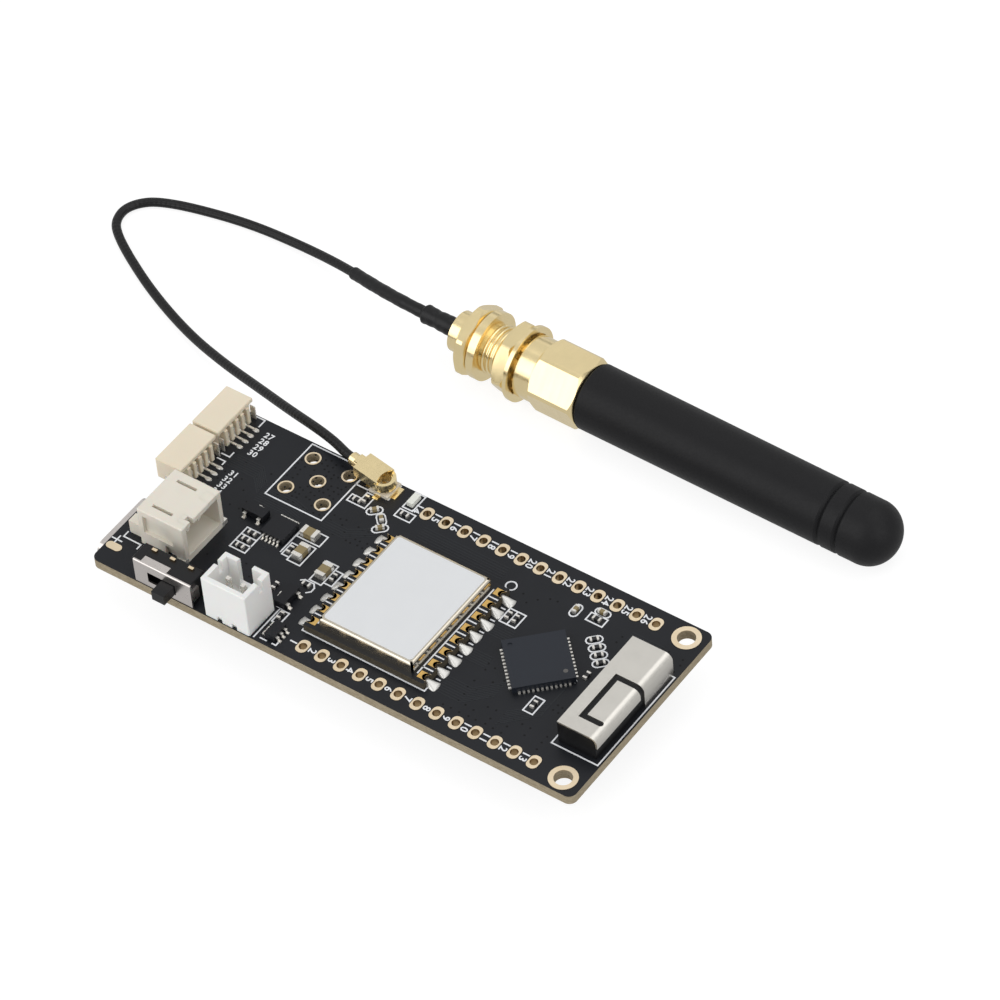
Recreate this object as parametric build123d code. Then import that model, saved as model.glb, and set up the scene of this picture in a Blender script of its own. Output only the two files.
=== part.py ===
from build123d import *
import math
import os

os.makedirs("parts", exist_ok=True)

# Millimetres. X runs along the board from the first header hole, Y towards the far header row,
# and Z up from the board's top face. The display lies below the board and touches the table.

# Bare board
BOARD_LENGTH = 64.4
BOARD_WIDTH = 27.0
BOARD_THICKNESS = 1.2
BOARD_CORNER_RADIUS = 0.95
FIRST_PIN_FROM_LEFT = 27.65
PIN_ROW_FROM_EDGE = 2.07

# Plated holes
PIN_PITCH = 2.54
PINS_PER_ROW = 13
PIN_HOLE_RADIUS = 0.48
PIN_PAD_WIDTH = 1.35
PIN_PAD_LENGTH = 1.85
PIN_PAD_ROUNDING = 0.6
COPPER_HEIGHT = 0.06
PLATING = 0.05
FIXING_HOLE_RADIUS = 1.05
FIXING_PAD_RADIUS = 1.65
FIXING_FROM_RIGHT = 2.4
FIXING_FROM_EDGE = 1.95
JACK_HOLE_RADIUS = 0.75
JACK_PAD_RADIUS = 0.95
JACK_PITCH = 2.54
JACK_X = -13.17
JACK_FROM_FAR_EDGE = 4.58
BATTERY_PAD_LENGTH = 2.0
BATTERY_PAD_WIDTH = 1.0
BATTERY_PAD_FROM_LEFT = 1.15
BATTERY_PAD_FROM_NEAR = 2.72

# Radio module
RADIO_X = 6.65
RADIO_LENGTH = 16.0
RADIO_FROM_NEAR_PADS = 1.025
RADIO_FROM_FAR_PADS = 3.985
RADIO_THICKNESS = 0.95
RADIO_PADS_PER_SIDE = 8
RADIO_PAD_INSET = 1.0
RADIO_LAND_DEPTH = 0.75
RADIO_LAND_WIDTH = 1.1
CASTELLATION_RADIUS = 0.4
SOLDER_REACH = 0.95
SOLDER_WIDTH = 1.3
SOLDER_HEIGHT = 0.75
SOLDER_WAIST = (0.4, 0.28)
SOLDER_EDGE = 0.1
SOLDER_FILL = 0.5
SHIELD_LENGTH = 12.6
SHIELD_FROM_NEAR = 0.55
SHIELD_FROM_FAR = 0.75
SHIELD_HEIGHT = 1.5
SHIELD_SHEET = 0.2
SHIELD_SLIT = 0.3
SHIELD_BEND = 0.35
LABEL_MARGIN = 0.45
LABEL_ROUNDING = 0.35
LABEL_THICKNESS = 0.05
RADIO_CHIP_SIDE = 4.0
RADIO_CHIP_HEIGHT = 0.75
RADIO_CHIP_SHIFT = (-2.2, -1.5)
CRYSTAL_LENGTH = 3.2
CRYSTAL_WIDTH = 2.5
CRYSTAL_HEIGHT = 0.6
CRYSTAL_SHIFT = (2.6, -2.0)

# Processor
PROCESSOR_X = 23.05
PROCESSOR_Y = 11.5
PROCESSOR_SIDE = 7.0
PROCESSOR_HEIGHT = 0.9
PROCESSOR_TURN = 45
PROCESSOR_LEADS_PER_SIDE = 12
PROCESSOR_LEAD_PITCH = 0.5
PROCESSOR_LEAD_WIDTH = 0.24
PROCESSOR_LEAD_REACH = 0.3
LEAD_HEIGHT = 0.2
MARK_RADIUS = 0.28
MARK_DEPTH = 0.1

# Folded sheet antenna on its carrier
CHIP_ANTENNA_FROM_RIGHT = 0.65
CHIP_ANTENNA_DEPTH = 5.1
CHIP_ANTENNA_FROM_NEAR_PAD = 2.27
CHIP_ANTENNA_FROM_FAR_PAD = 3.38
CHIP_ANTENNA_HEIGHT = 3.2
CHIP_ANTENNA_SHEET = 0.22
CHIP_ANTENNA_BEND = 0.9
ANTENNA_SLOT = 0.7
ANTENNA_SLOT_FROM_FAR = 5.35
ANTENNA_SLOT_FROM_NEAR = 1.8
ANTENNA_SLOT_INSET = 1.5
ANTENNA_SLOT_LENGTH = 2.6
ANTENNA_LIP = 0.55

# Edge break of the moulded housings
MOULDED_EDGE = 0.1

# Battery connector
BATTERY_REAR = -24.3
BATTERY_DEPTH = 6.3
BATTERY_NEAR = 2.75
BATTERY_WIDTH = 7.0
BATTERY_HEIGHT = 5.5
BATTERY_WALL = 0.7
BATTERY_FLOOR = 0.9
BATTERY_BACK_WALL = 1.5
BATTERY_WING_LENGTH = 2.0
BATTERY_WING_WIDTH = 1.3
BATTERY_WING_INSET = 0.6
BATTERY_WING_HEIGHT = 1.85
BATTERY_SLOT_LENGTH = 2.75
BATTERY_SLOT_WIDTH = 0.4
BATTERY_SLOT_PITCH = 4.35
BATTERY_SLOT_FROM_REAR = 1.3
BATTERY_KEY_WIDTH = 1.2
BATTERY_KEY_DEPTH = 1.3
BATTERY_RECESS = 0.45
BATTERY_WINDOW = (0.7, 4.7, 2.0, 4.6)
BATTERY_POCKET = (3.5, 5.0, 0.0, 1.5)
BATTERY_TAB_LENGTH = 1.2
BATTERY_TAB_WIDTH = 0.9
BATTERY_TAB_HEIGHT = 0.6
BATTERY_PIN_PITCH = 2.0
BATTERY_PIN = 0.5
BATTERY_PIN_HEIGHT = 2.6
BATTERY_PIN_FREE = 3.4
BATTERY_TAIL = 1.9

# Upright connector
UPRIGHT_LEFT = -11.8
UPRIGHT_NEAR = -1.95
UPRIGHT_LENGTH = 6.0
UPRIGHT_WIDTH = 4.6
UPRIGHT_HEIGHT = 6.0
UPRIGHT_WALL = 0.6
UPRIGHT_FLOOR = 1.7
UPRIGHT_SLOT_WIDTH = 2.0
UPRIGHT_SLOT_BASE = 2.4
UPRIGHT_NOTCH_WIDTH = 0.65
UPRIGHT_NOTCH_DEPTH = 1.5
UPRIGHT_NOTCH_SHIFT = 0.5
UPRIGHT_SLIT_X = -2.0
UPRIGHT_SLIT_WIDTH = 0.3
UPRIGHT_SLIT_DEPTH = 0.35
UPRIGHT_SLIT_LOW = 2.6
UPRIGHT_SLIT_HIGH = 5.1
UPRIGHT_FOOT_NOTCH = 0.7
UPRIGHT_PIN_PITCH = 2.0
UPRIGHT_PIN = 0.5
UPRIGHT_PIN_TOP = 5.0
UPRIGHT_TAIL = 1.4
UPRIGHT_HOLE_RADIUS = 0.45

# Side connectors
SIDE_CONNECTOR_Y = (14.75, 21.5)
SIDE_OVERHANG = 1.2
SIDE_DEPTH = 3.85
SIDE_WIDTH = 6.4
SIDE_HEIGHT = 2.95
SIDE_WALL = 0.45
SIDE_BACK_WALL = 1.3
SIDE_COVER_SETBACK = 0.85
SIDE_RIB_HEIGHT = 2.3
SIDE_RIB_BEVEL = 0.6
SIDE_PINS = 4
SIDE_PIN_PITCH = 1.0
SIDE_PIN_WIDTH = 0.26
SIDE_PIN_CLEARANCE = 0.05
SIDE_PIN_FROM_REAR = 0.2
SIDE_PIN_HEIGHT = 1.3
SIDE_PIN_FREE = 1.9
SIDE_TAIL = 1.6
SIDE_ANCHOR_WIDTH = 0.12
SIDE_ANCHOR_LENGTH = 1.6
SIDE_ANCHOR_HEIGHT = 0.9

# Slide switch
SWITCH_X = -17.6
SWITCH_FRONT = -2.0
SWITCH_COVER_LEFT = 3.75
SWITCH_COVER_RIGHT = 4.1
SWITCH_BODY_LEFT = 4.15
SWITCH_BODY_RIGHT = 3.85
SWITCH_BODY_DEPTH = 2.65
SWITCH_HEIGHT = 3.5
SWITCH_SHEET = 0.25
SWITCH_FOLD_RADIUS = 0.2
SWITCH_TAB_LENGTH = 3.5
SWITCH_TAB_DEPTH = 1.1
SWITCH_TAB_SHIFT = -1.05
SWITCH_SIDE_TAB_DEPTH = 1.4
SWITCH_SIDE_TAB_LOW = 0.7
SWITCH_SIDE_TAB_HIGH = 2.4
SWITCH_WINDOW_LENGTH = 3.8
SWITCH_WINDOW_LOW = 0.85
SWITCH_WINDOW_HIGH = 2.35
KNOB_LENGTH = 1.7
KNOB_PROTRUSION = 1.9
KNOB_TRAVEL = 2.0
KNOB_CLEARANCE = 0.1
KNOB_FLANGE_DEPTH = 0.7
KNOB_FLANGE_REACH = 0.3
SWITCH_TERMINAL_PITCH = 2.5
SWITCH_TERMINAL_LENGTH = 0.65
SWITCH_TERMINAL_WIDTH = 0.35
SWITCH_TERMINAL_Y = 0.35
SWITCH_TERMINAL_HEIGHT = 1.0

# Coaxial socket and the plug pressed on it
COAX_X = -6.2
COAX_FROM_FAR_EDGE = 1.45
COAX_BASE_SIDE = 2.6
COAX_BASE_HEIGHT = 0.4
COAX_RING_RADIUS = 1.0
COAX_RING_WALL = 0.15
COAX_RING_HEIGHT = 1.25
COAX_CONTACT_RADIUS = 0.25
COAX_PAD = 0.7
COAX_SIDE_PAD = 1.8
COAX_CONTACT_HEIGHT = 0.9
PLUG_SHEET = 0.2
PLUG_GAP = 0.02
PLUG_CLIP_RADIUS = 1.4
PLUG_LIFT = 0.4
PLUG_HEIGHT = 1.4
PLUG_CLIP_DROP = 0.35
PLUG_FRONT = -0.28
PLUG_PLATE_LENGTH = 3.73
PLUG_MOUTH_RADIUS = 2.2
PLUG_MOUTH_DEPTH = 0.48
PLUG_PLATE_WIDTH = 2.75
PLUG_STRAP_WIDTH = 1.3
PLUG_CRIMP_START = 3.2
PLUG_CRIMP_LENGTH = 1.75
PLUG_CRIMP_RADIUS = 0.78
PLUG_TURN = 170.5

# Small parts: X, Y and turn of each one
RESISTORS = [
    (-14.6, 10.2, 0), (-14.6, 9.1, 0), (-14.6, 8.0, 0), (-7.75, 20.35, 0), (-7.0, 20.95, 90),
    (-9.6, 10.5, 90), (-3.1, 9.7, 90), (-5.0, 7.3, 0), (-7.8, 5.4, 90), (-4.7, 2.2, 90),
    (16.3, 15.35, 90), (17.25, 15.35, 90), (24.7, 20.0, 0), (28.4, 12.8, 90), (25.95, 6.45, 90),
    (26.1, 17.5, 45), (27.0, 16.7, 45), (27.8, 15.9, 45), (28.6, 15.1, 45), (-1.95, 21.35, 0),
]
SMALL_CAPACITORS = [
    (-5.2, 20.15, 45), (-3.8, 19.5, -45), (-3.1, 18.3, 45), (22.0, 19.9, 90), (24.7, 21.1, 0),
]
LARGE_CAPACITORS = [(-9.0, 13.4, 0), (-8.25, 10.7, 90), (-4.4, 9.8, 90)]
RESISTOR_SIZE = (1.0, 0.5, 0.35)
SMALL_CAPACITOR_SIZE = (1.0, 0.5, 0.5)
LARGE_CAPACITOR_SIZE = (2.0, 1.2, 0.8)
TERMINAL_SHARE = 0.24
TERMINAL_SKIN = 0.03
LED_X = -2.3
LED_FROM_FAR_EDGE = 1.4
LED_SIZE = (1.6, 0.8, 0.6)

# Leaded chips
TRANSISTOR_SIZE = (2.9, 1.3, 1.0)
TRANSISTORS = [(-15.95, 12.75, 0), (-5.5, 4.55, 90)]
TRANSISTOR_PITCH = 0.95
TRANSISTOR_LEAD_WIDTH = 0.4
REGULATOR_X = -3.6
REGULATOR_Y = -0.1
REGULATOR_SIZE = (2.2, 1.3, 0.9)
REGULATOR_PITCH = 0.7
REGULATOR_LEAD_WIDTH = 0.3
CHARGER_X = -12.2
CHARGER_Y = 12.1
CHARGER_SIDE = 3.0
CHARGER_HEIGHT = 0.85
CHARGER_LEADS = 5
CHARGER_PITCH = 0.5
CHARGER_LEAD_WIDTH = 0.22
LEAD_SHEET = 0.15
LEAD_REACH = 0.6
LEAD_KNEE = 0.18
LEAD_STAND_OFF = 0.1

# Display below the board
DISPLAY_X = 13.1
DISPLAY_Y = 11.43
DISPLAY_LENGTH = 26.7
DISPLAY_WIDTH = 19.3
DISPLAY_THICKNESS = 1.45
FRAME_HEIGHT = 3.8
FRAME_MARGIN = 0.8
FRAME_WALL = 1.2
RIBBON_WIDTH = 12.0
RIBBON_THICKNESS = 0.12
RIBBON_REACH = 2.6
RIBBON_GAP = 0.6

# Other parts below the board
USB_Y = 5.0
USB_OVERHANG = 1.4
USB_WIDTH = 8.94
USB_HEIGHT = 3.16
USB_DEPTH = 7.35
USB_SHEET = 0.3
USB_ROUNDING = 1.0
USB_TONGUE_WIDTH = 6.7
USB_TONGUE_HEIGHT = 0.7
USB_TONGUE_LENGTH = 4.4
CARD_FROM_FRAME = 1.95
CARD_Y = 14.3
CARD_ROOM = 0.4
CARD_LENGTH = 14.6
CARD_WIDTH = 14.0
CARD_HEIGHT = 1.7
CARD_SHEET = 0.2
CARD_MOUTH_WIDTH = 11.4
CARD_MOUTH_HEIGHT = 0.9
CARD_SLOT_DEPTH = 13.0
BRIDGE_X = -13.5
BRIDGE_Y = 5.2
BRIDGE_SIDE = 4.0
BRIDGE_HEIGHT = 0.85
RESET_X = -4.6
RESET_Y = 3.2
RESET_LENGTH = 4.2
RESET_WIDTH = 3.2
RESET_HEIGHT = 1.9
RESET_CAP_RADIUS = 0.85
RESET_CAP_RISE = 0.6
RESET_CAP_SINK = 0.4
RESET_TRAVEL = 0.25
RESET_CLEARANCE = 0.1

# Stub antenna, along its own axis from the screwed nut's back face
ANTENNA_X = 3.95
ANTENNA_Y = 48.75
ANTENNA_TURN = -0.65
ANTENNA_LIFT = 0.02
ROD_RADIUS = 4.0
ROD_TIP_RADIUS = 3.85
ROD_LENGTH = 37.4
ROD_DOME = 3.6
ROD_GROOVE_FROM_TIP = (8.3, 6.0)
ROD_GROOVE_WIDTH = 0.7
ROD_GROOVE_DEPTH = 0.3
ROD_EDGE = 0.4
ROD_BORE = 1.6
ROD_END_WALL = 2.0
RADIATOR_GAP = 0.5
COUPLING_FLATS = 7.8
COUPLING_CORNER = 4.35
COUPLING_HEX_LENGTH = 6.2
COUPLING_COLLAR_RADIUS = 3.8
COUPLING_COLLAR_LENGTH = 2.1
COUPLING_END_WALL = 1.6
COUPLING_TURN = -10.3
COLLAR_GAP = 0.35
COLLAR_OVERLAP = 1.0
THREAD_RADIUS = 3.1
THREAD_CLEARANCE = 0.06
THREAD_CORE_RADIUS = 2.86
THREAD_END_GAP = 0.2
JACK_BORE = 2.05
JACK_INSULATOR_SETBACK = 0.4
JACK_CONTACT_RADIUS = 0.64
WASHER_RADIUS = 4.65
WASHER_THICKNESS = 0.5
WASHER_TEETH = 9
WASHER_TOOTH_REACH = 0.7
NUT_FLATS = 8.0
NUT_CORNER = 4.5
NUT_THICKNESS = 2.0
THREAD_SHOWN = 2.45
SHOULDER_RADIUS = 4.2
SHOULDER_THICKNESS = 1.0
SHOULDER_GROOVE = 0.3
FLANGE_FLATS = 8.0
FLANGE_CORNER = 4.5
FLANGE_THICKNESS = 1.6
FLANGE_TURN = 22.7
HUB_RADIUS = 2.5
HUB_LENGTH = 1.9
HUB_BORE = 1.15
CHAMFER_SLOPE = 30
CHAMFER_INSET = 0.1

# Cable: its route from the plug to the antenna jack, chosen by hand, and its sleeves
CABLE_RADIUS = 0.56
SLEEVE_GAP = 0.02
JACK_SLEEVE_RADIUS = 1.12
JACK_SLEEVE_LENGTH = 5.2
THIN_SLEEVE_RADIUS = 0.76
THIN_SLEEVE_LENGTH = 13.0
CABLE_ROUTE = [
    (-14.2, 25.3, 1.3), (-17.3, 26.15, 1.0), (-22.55, 27.72, -0.3), (-28.85, 30.06, -2.3),
    (-35.9, 32.48, -4.3), (-43.3, 35.1, -5.7), (-50.95, 38.25, -5.87), (-57.6, 41.82, -5.87),
    (-61.3, 44.3, -5.87), (-62.4, 45.9, -5.87), (-62.6, 47.8, -5.87), (-61.6, 49.5, -5.87),
    (-59.9, 50.75, -5.87), (-55.95, 52.05, -5.87), (-48.55, 53.45, -5.87), (-40.95, 53.6, -5.7),
    (-33.9, 52.5, -4.5), (-27.25, 50.58, -3.0),
]
CABLE_LEAD = 1.0
CABLE_TAIL = 6.0
BEND_SHARE = 0.45

# Places worked out from the sizes above
board_left = -FIRST_PIN_FROM_LEFT
board_right = board_left + BOARD_LENGTH
board_near = -PIN_ROW_FROM_EDGE
board_far = board_near + BOARD_WIDTH
board_bottom = -BOARD_THICKNESS
far_row = board_far - PIN_ROW_FROM_EDGE
jack_y = board_far - JACK_FROM_FAR_EDGE
coax_y = board_far - COAX_FROM_FAR_EDGE
table = board_bottom - FRAME_HEIGHT - DISPLAY_THICKNESS
radio_near = PIN_PAD_LENGTH / 2 + RADIO_FROM_NEAR_PADS
radio_far = far_row - PIN_PAD_LENGTH / 2 - RADIO_FROM_FAR_PADS
radio_y = (radio_near + radio_far) / 2
shield_y = (radio_near + SHIELD_FROM_NEAR + radio_far - SHIELD_FROM_FAR) / 2
shield_width = radio_far - SHIELD_FROM_FAR - radio_near - SHIELD_FROM_NEAR
card_x = DISPLAY_X - DISPLAY_LENGTH / 2 + FRAME_MARGIN + FRAME_WALL + CARD_FROM_FRAME + CARD_LENGTH / 2
shield_top = RADIO_THICKNESS + SHIELD_HEIGHT
collar_end = -COUPLING_HEX_LENGTH - COUPLING_COLLAR_LENGTH
washer_face = collar_end - COLLAR_GAP
nut_face = washer_face - WASHER_THICKNESS
nut_back = nut_face - NUT_THICKNESS
shoulder_face = nut_back - THREAD_SHOWN
flange_face = shoulder_face - SHOULDER_THICKNESS - SHOULDER_GROOVE
hub_face = flange_face - FLANGE_THICKNESS
jack_end = hub_face - HUB_LENGTH


# A box between low and high limits on each axis
def block(x_low, x_high, y_low, y_high, z_low, z_high):
    middle = Pos((x_low + x_high) / 2, (y_low + y_high) / 2, (z_low + z_high) / 2)
    return middle * Box(x_high - x_low, y_high - y_low, z_high - z_low)


# A box standing on the plane Z = base
def standing(x, y, length, width, base, height):
    return Pos(x, y, base + height / 2) * Box(length, width, height)


# The same box with its edges broken, apart from those on its foot
def eased(shape):
    edges = [edge for level in shape.edges().group_by(Axis.Z)[1:] for edge in level]
    return chamfer(edges, MOULDED_EDGE)


def spread(count, pitch):
    return [(i - (count - 1) / 2) * pitch for i in range(count)]


def group(shapes):
    return Compound([solid for shape in shapes for solid in shape.solids()])


# Turns a part modelled on top of the board so that it hangs below it
def hung(shape, x, y, turn=0):
    return Pos(x, y, board_bottom) * Rot(180, 0, turn) * shape


def pin_places():
    return [(i * PIN_PITCH, y) for y in (0, far_row) for i in range(PINS_PER_ROW)]


def fixing_places():
    x = board_right - FIXING_FROM_RIGHT
    return [(x, board_near + FIXING_FROM_EDGE), (x, board_far - FIXING_FROM_EDGE)]


def jack_places():
    corners = [(JACK_X + dx * JACK_PITCH, jack_y + dy * JACK_PITCH) for dx in (-1, 1) for dy in (-1, 1)]
    return [(JACK_X, jack_y)] + corners


def circuit_board():
    middle = Pos((board_left + board_right) / 2, (board_near + board_far) / 2)
    outline = middle * RectangleRounded(BOARD_LENGTH, BOARD_WIDTH, BOARD_CORNER_RADIUS)
    outline -= [Pos(*p) * Circle(PIN_HOLE_RADIUS + PLATING) for p in pin_places()]
    outline -= [Pos(*p) * Circle(FIXING_HOLE_RADIUS) for p in fixing_places()]
    outline -= [Pos(*p) * Circle(JACK_HOLE_RADIUS) for p in jack_places()]
    outline -= [Pos(*p) * Circle(UPRIGHT_HOLE_RADIUS) for p in upright_pin_places()]
    return extrude(outline, -BOARD_THICKNESS)


def pad_ring(outline, hole_radius, places):
    ring = outline - Circle(hole_radius)
    top = extrude(ring, COPPER_HEIGHT)
    bottom = Pos(0, 0, board_bottom - COPPER_HEIGHT) * extrude(ring, COPPER_HEIGHT)
    return [Pos(*p) * side for p in places for side in (top, bottom)]


def header_pads():
    ring = RectangleRounded(PIN_PAD_WIDTH, PIN_PAD_LENGTH, PIN_PAD_ROUNDING) - Circle(PIN_HOLE_RADIUS)
    top = extrude(ring, COPPER_HEIGHT)
    wall = extrude(Circle(PIN_HOLE_RADIUS + PLATING) - Circle(PIN_HOLE_RADIUS), -BOARD_THICKNESS)
    return group(Pos(*p) * (top + wall) for p in pin_places())


def fixing_pads():
    return group(pad_ring(Circle(FIXING_PAD_RADIUS), FIXING_HOLE_RADIUS, fixing_places()))


def jack_pads():
    return group(pad_ring(Circle(JACK_PAD_RADIUS), JACK_HOLE_RADIUS, jack_places()))


def battery_pad():
    outline = SlotOverall(BATTERY_PAD_LENGTH, BATTERY_PAD_WIDTH)
    place = Pos(board_left + BATTERY_PAD_FROM_LEFT, board_near + BATTERY_PAD_FROM_NEAR)
    return place * extrude(outline, COPPER_HEIGHT)


def radio_sides():
    pitch = (radio_far - radio_near - 2 * RADIO_PAD_INSET) / (RADIO_PADS_PER_SIDE - 1)
    return [(side * RADIO_LENGTH / 2, y) for y in spread(RADIO_PADS_PER_SIDE, pitch) for side in (-1, 1)]


def radio_carrier():
    outline = Rectangle(RADIO_LENGTH, radio_far - radio_near)
    outline -= [Pos(*p) * Circle(CASTELLATION_RADIUS) for p in radio_sides()]
    return Pos(RADIO_X, radio_y) * extrude(outline, RADIO_THICKNESS)


def on_radio_edge(x, y):
    return Pos(RADIO_X + x, radio_y + y) * Rot(0, 0, 0 if x > 0 else 180)


# Gold on the carrier's top around each half hole
def radio_lands():
    outline = Ellipse(RADIO_LAND_DEPTH, RADIO_LAND_WIDTH / 2) - Circle(CASTELLATION_RADIUS)
    outline &= Pos(-RADIO_LAND_DEPTH / 2, 0) * Rectangle(RADIO_LAND_DEPTH, RADIO_LAND_WIDTH)
    land = Pos(0, 0, RADIO_THICKNESS) * extrude(outline, COPPER_HEIGHT / 2)
    return group(on_radio_edge(*p) * land for p in radio_sides())


# Solder that half fills the hole and runs out from its foot over the board
def radio_pads():
    points = [(0, 0), (SOLDER_REACH, 0), (SOLDER_REACH, SOLDER_EDGE), SOLDER_WAIST, (0, SOLDER_HEIGHT)]
    slope = extrude(Plane.XZ * make_face(Polyline(points, close=True)), SOLDER_WIDTH, both=True)
    fan = slope & extrude(Ellipse(SOLDER_REACH, SOLDER_WIDTH / 2), SOLDER_HEIGHT)
    fill = extrude(Circle(CASTELLATION_RADIUS), SOLDER_FILL)
    fill &= standing(-CASTELLATION_RADIUS / 2, 0, CASTELLATION_RADIUS, SOLDER_WIDTH, 0, SOLDER_FILL)
    return group(on_radio_edge(*p) * (fan + fill) for p in radio_sides())


# A can folded from one sheet, open below, with its four upright corners left apart
def radio_shield():
    can = extrude(Rectangle(SHIELD_LENGTH, shield_width), SHIELD_HEIGHT)
    can = fillet(can.faces().sort_by(Axis.Z)[-1].edges(), SHIELD_BEND)
    inner = (SHIELD_LENGTH - 2 * SHIELD_SHEET, shield_width - 2 * SHIELD_SHEET)
    can -= extrude(Rectangle(*inner), SHIELD_HEIGHT - SHIELD_SHEET)
    slit = extrude(Rectangle(3 * SHIELD_BEND, SHIELD_SLIT), 2 * SHIELD_HEIGHT)
    for x in (-1, 1):
        for y in (-1, 1):
            corner = Pos(x * SHIELD_LENGTH / 2, y * shield_width / 2)
            can -= corner * Rot(0, 0, 45 * x * y) * slit
    return Pos(RADIO_X, shield_y, RADIO_THICKNESS) * can


def radio_label():
    length = SHIELD_LENGTH - 2 * LABEL_MARGIN
    width = shield_width - 2 * LABEL_MARGIN
    return Pos(RADIO_X, shield_y, shield_top) * extrude(RectangleRounded(length, width, LABEL_ROUNDING),
                                                        LABEL_THICKNESS)


def radio_chip():
    x, y = RADIO_CHIP_SHIFT
    return standing(RADIO_X + x, radio_y + y, RADIO_CHIP_SIDE, RADIO_CHIP_SIDE, RADIO_THICKNESS,
                    RADIO_CHIP_HEIGHT)


def radio_crystal():
    x, y = CRYSTAL_SHIFT
    return standing(RADIO_X + x, radio_y + y, CRYSTAL_LENGTH, CRYSTAL_WIDTH, RADIO_THICKNESS,
                    CRYSTAL_HEIGHT)


def processor_place():
    return Pos(PROCESSOR_X, PROCESSOR_Y) * Rot(0, 0, PROCESSOR_TURN)


def processor():
    body = standing(0, 0, PROCESSOR_SIDE, PROCESSOR_SIDE, 0, PROCESSOR_HEIGHT)
    corner = PROCESSOR_SIDE / 2 - 3 * MARK_RADIUS
    mark = Pos(-corner, corner, PROCESSOR_HEIGHT) * Cylinder(MARK_RADIUS, 2 * MARK_DEPTH)
    return processor_place() * (body - mark)


def edge_leads(side, count, pitch, width, reach, height):
    lead = standing(side / 2 + reach / 2, 0, reach, width, 0, height)
    return [Rot(0, 0, 90 * k) * Pos(0, y) * lead for k in range(4) for y in spread(count, pitch)]


def processor_leads():
    leads = edge_leads(PROCESSOR_SIDE, PROCESSOR_LEADS_PER_SIDE, PROCESSOR_LEAD_PITCH,
                       PROCESSOR_LEAD_WIDTH, PROCESSOR_LEAD_REACH, LEAD_HEIGHT)
    return group(processor_place() * lead for lead in leads)


antenna_right = board_right - CHIP_ANTENNA_FROM_RIGHT
antenna_left = antenna_right - CHIP_ANTENNA_DEPTH
antenna_near = board_near + FIXING_FROM_EDGE + FIXING_PAD_RADIUS + CHIP_ANTENNA_FROM_NEAR_PAD
antenna_far = board_far - FIXING_FROM_EDGE - FIXING_PAD_RADIUS - CHIP_ANTENNA_FROM_FAR_PAD
slot_left = antenna_left + ANTENNA_SLOT_INSET
slot_near = antenna_near + ANTENNA_SLOT_FROM_NEAR
slot_far = antenna_far - ANTENNA_SLOT_FROM_FAR


def chip_antenna_block():
    right = antenna_right - CHIP_ANTENNA_SHEET
    top = CHIP_ANTENNA_HEIGHT - CHIP_ANTENNA_SHEET
    body = block(antenna_left, right, antenna_near, antenna_far, 0, top)
    edge = body.edges().filter_by(Axis.Y).group_by(Axis.Z)[-1].sort_by(Axis.X)[-1]
    return fillet(edge, CHIP_ANTENNA_BEND - CHIP_ANTENNA_SHEET)


# A plate over the carrier that bends down its right side, reaching the board beyond the slot
def chip_antenna_plate():
    outer = block(antenna_left, antenna_right, antenna_near, antenna_far, 0, CHIP_ANTENNA_HEIGHT)
    edge = outer.edges().filter_by(Axis.Y).group_by(Axis.Z)[-1].sort_by(Axis.X)[-1]
    plate = fillet(edge, CHIP_ANTENNA_BEND) - chip_antenna_block()
    bend_end = CHIP_ANTENNA_HEIGHT - CHIP_ANTENNA_BEND - ANTENNA_LIP
    plate -= block(antenna_left, antenna_right, antenna_near, slot_far, 0, bend_end)
    return plate - antenna_slot()


def antenna_slot():
    high = CHIP_ANTENNA_HEIGHT
    across = block(slot_left, antenna_right, slot_far - ANTENNA_SLOT, slot_far, 0, high)
    along = block(slot_left, slot_left + ANTENNA_SLOT, slot_near, slot_far, 0, high)
    end = slot_left + ANTENNA_SLOT_LENGTH
    back = block(slot_left, end, slot_near, slot_near + ANTENNA_SLOT, 0, high)
    round_end = Pos(end, slot_near + ANTENNA_SLOT / 2, high / 2) * Cylinder(ANTENNA_SLOT / 2, high)
    return across + along + back + round_end


battery_front = BATTERY_REAR + BATTERY_DEPTH
battery_middle = BATTERY_NEAR + BATTERY_WIDTH / 2
battery_back_wall = BATTERY_REAR + BATTERY_BACK_WALL


def battery_pins():
    half = BATTERY_PIN / 2
    pins = []
    for y in spread(2, BATTERY_PIN_PITCH):
        low, high = battery_middle + y - half, battery_middle + y + half
        level = (BATTERY_PIN_HEIGHT - half, BATTERY_PIN_HEIGHT + half)
        blade = block(BATTERY_REAR - BATTERY_PIN, battery_back_wall + BATTERY_PIN_FREE, low, high, *level)
        drop = block(BATTERY_REAR - BATTERY_PIN, BATTERY_REAR, low, high, 0, level[1])
        foot = block(BATTERY_REAR - BATTERY_TAIL, BATTERY_REAR, low, high, 0, LEAD_SHEET)
        pins.append(blade + drop + foot)
    for y in (BATTERY_NEAR, BATTERY_NEAR + BATTERY_WIDTH):
        pins.append(standing(battery_front - BATTERY_TAB_LENGTH / 2, y, BATTERY_TAB_LENGTH,
                             BATTERY_TAB_WIDTH, 0, BATTERY_TAB_HEIGHT))
    return group(pins)


def battery_cavity():
    near, far = BATTERY_NEAR + BATTERY_WALL, BATTERY_NEAR + BATTERY_WIDTH - BATTERY_WALL
    top = BATTERY_HEIGHT - BATTERY_WALL
    space = block(battery_back_wall, battery_front, near, far, BATTERY_FLOOR, top)
    for y in spread(2, BATTERY_PIN_PITCH * 2):
        low = battery_middle + y - BATTERY_KEY_WIDTH / 2
        space += block(battery_front - BATTERY_KEY_DEPTH, battery_front, low, low + BATTERY_KEY_WIDTH,
                       top, BATTERY_HEIGHT)
    return space


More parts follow.
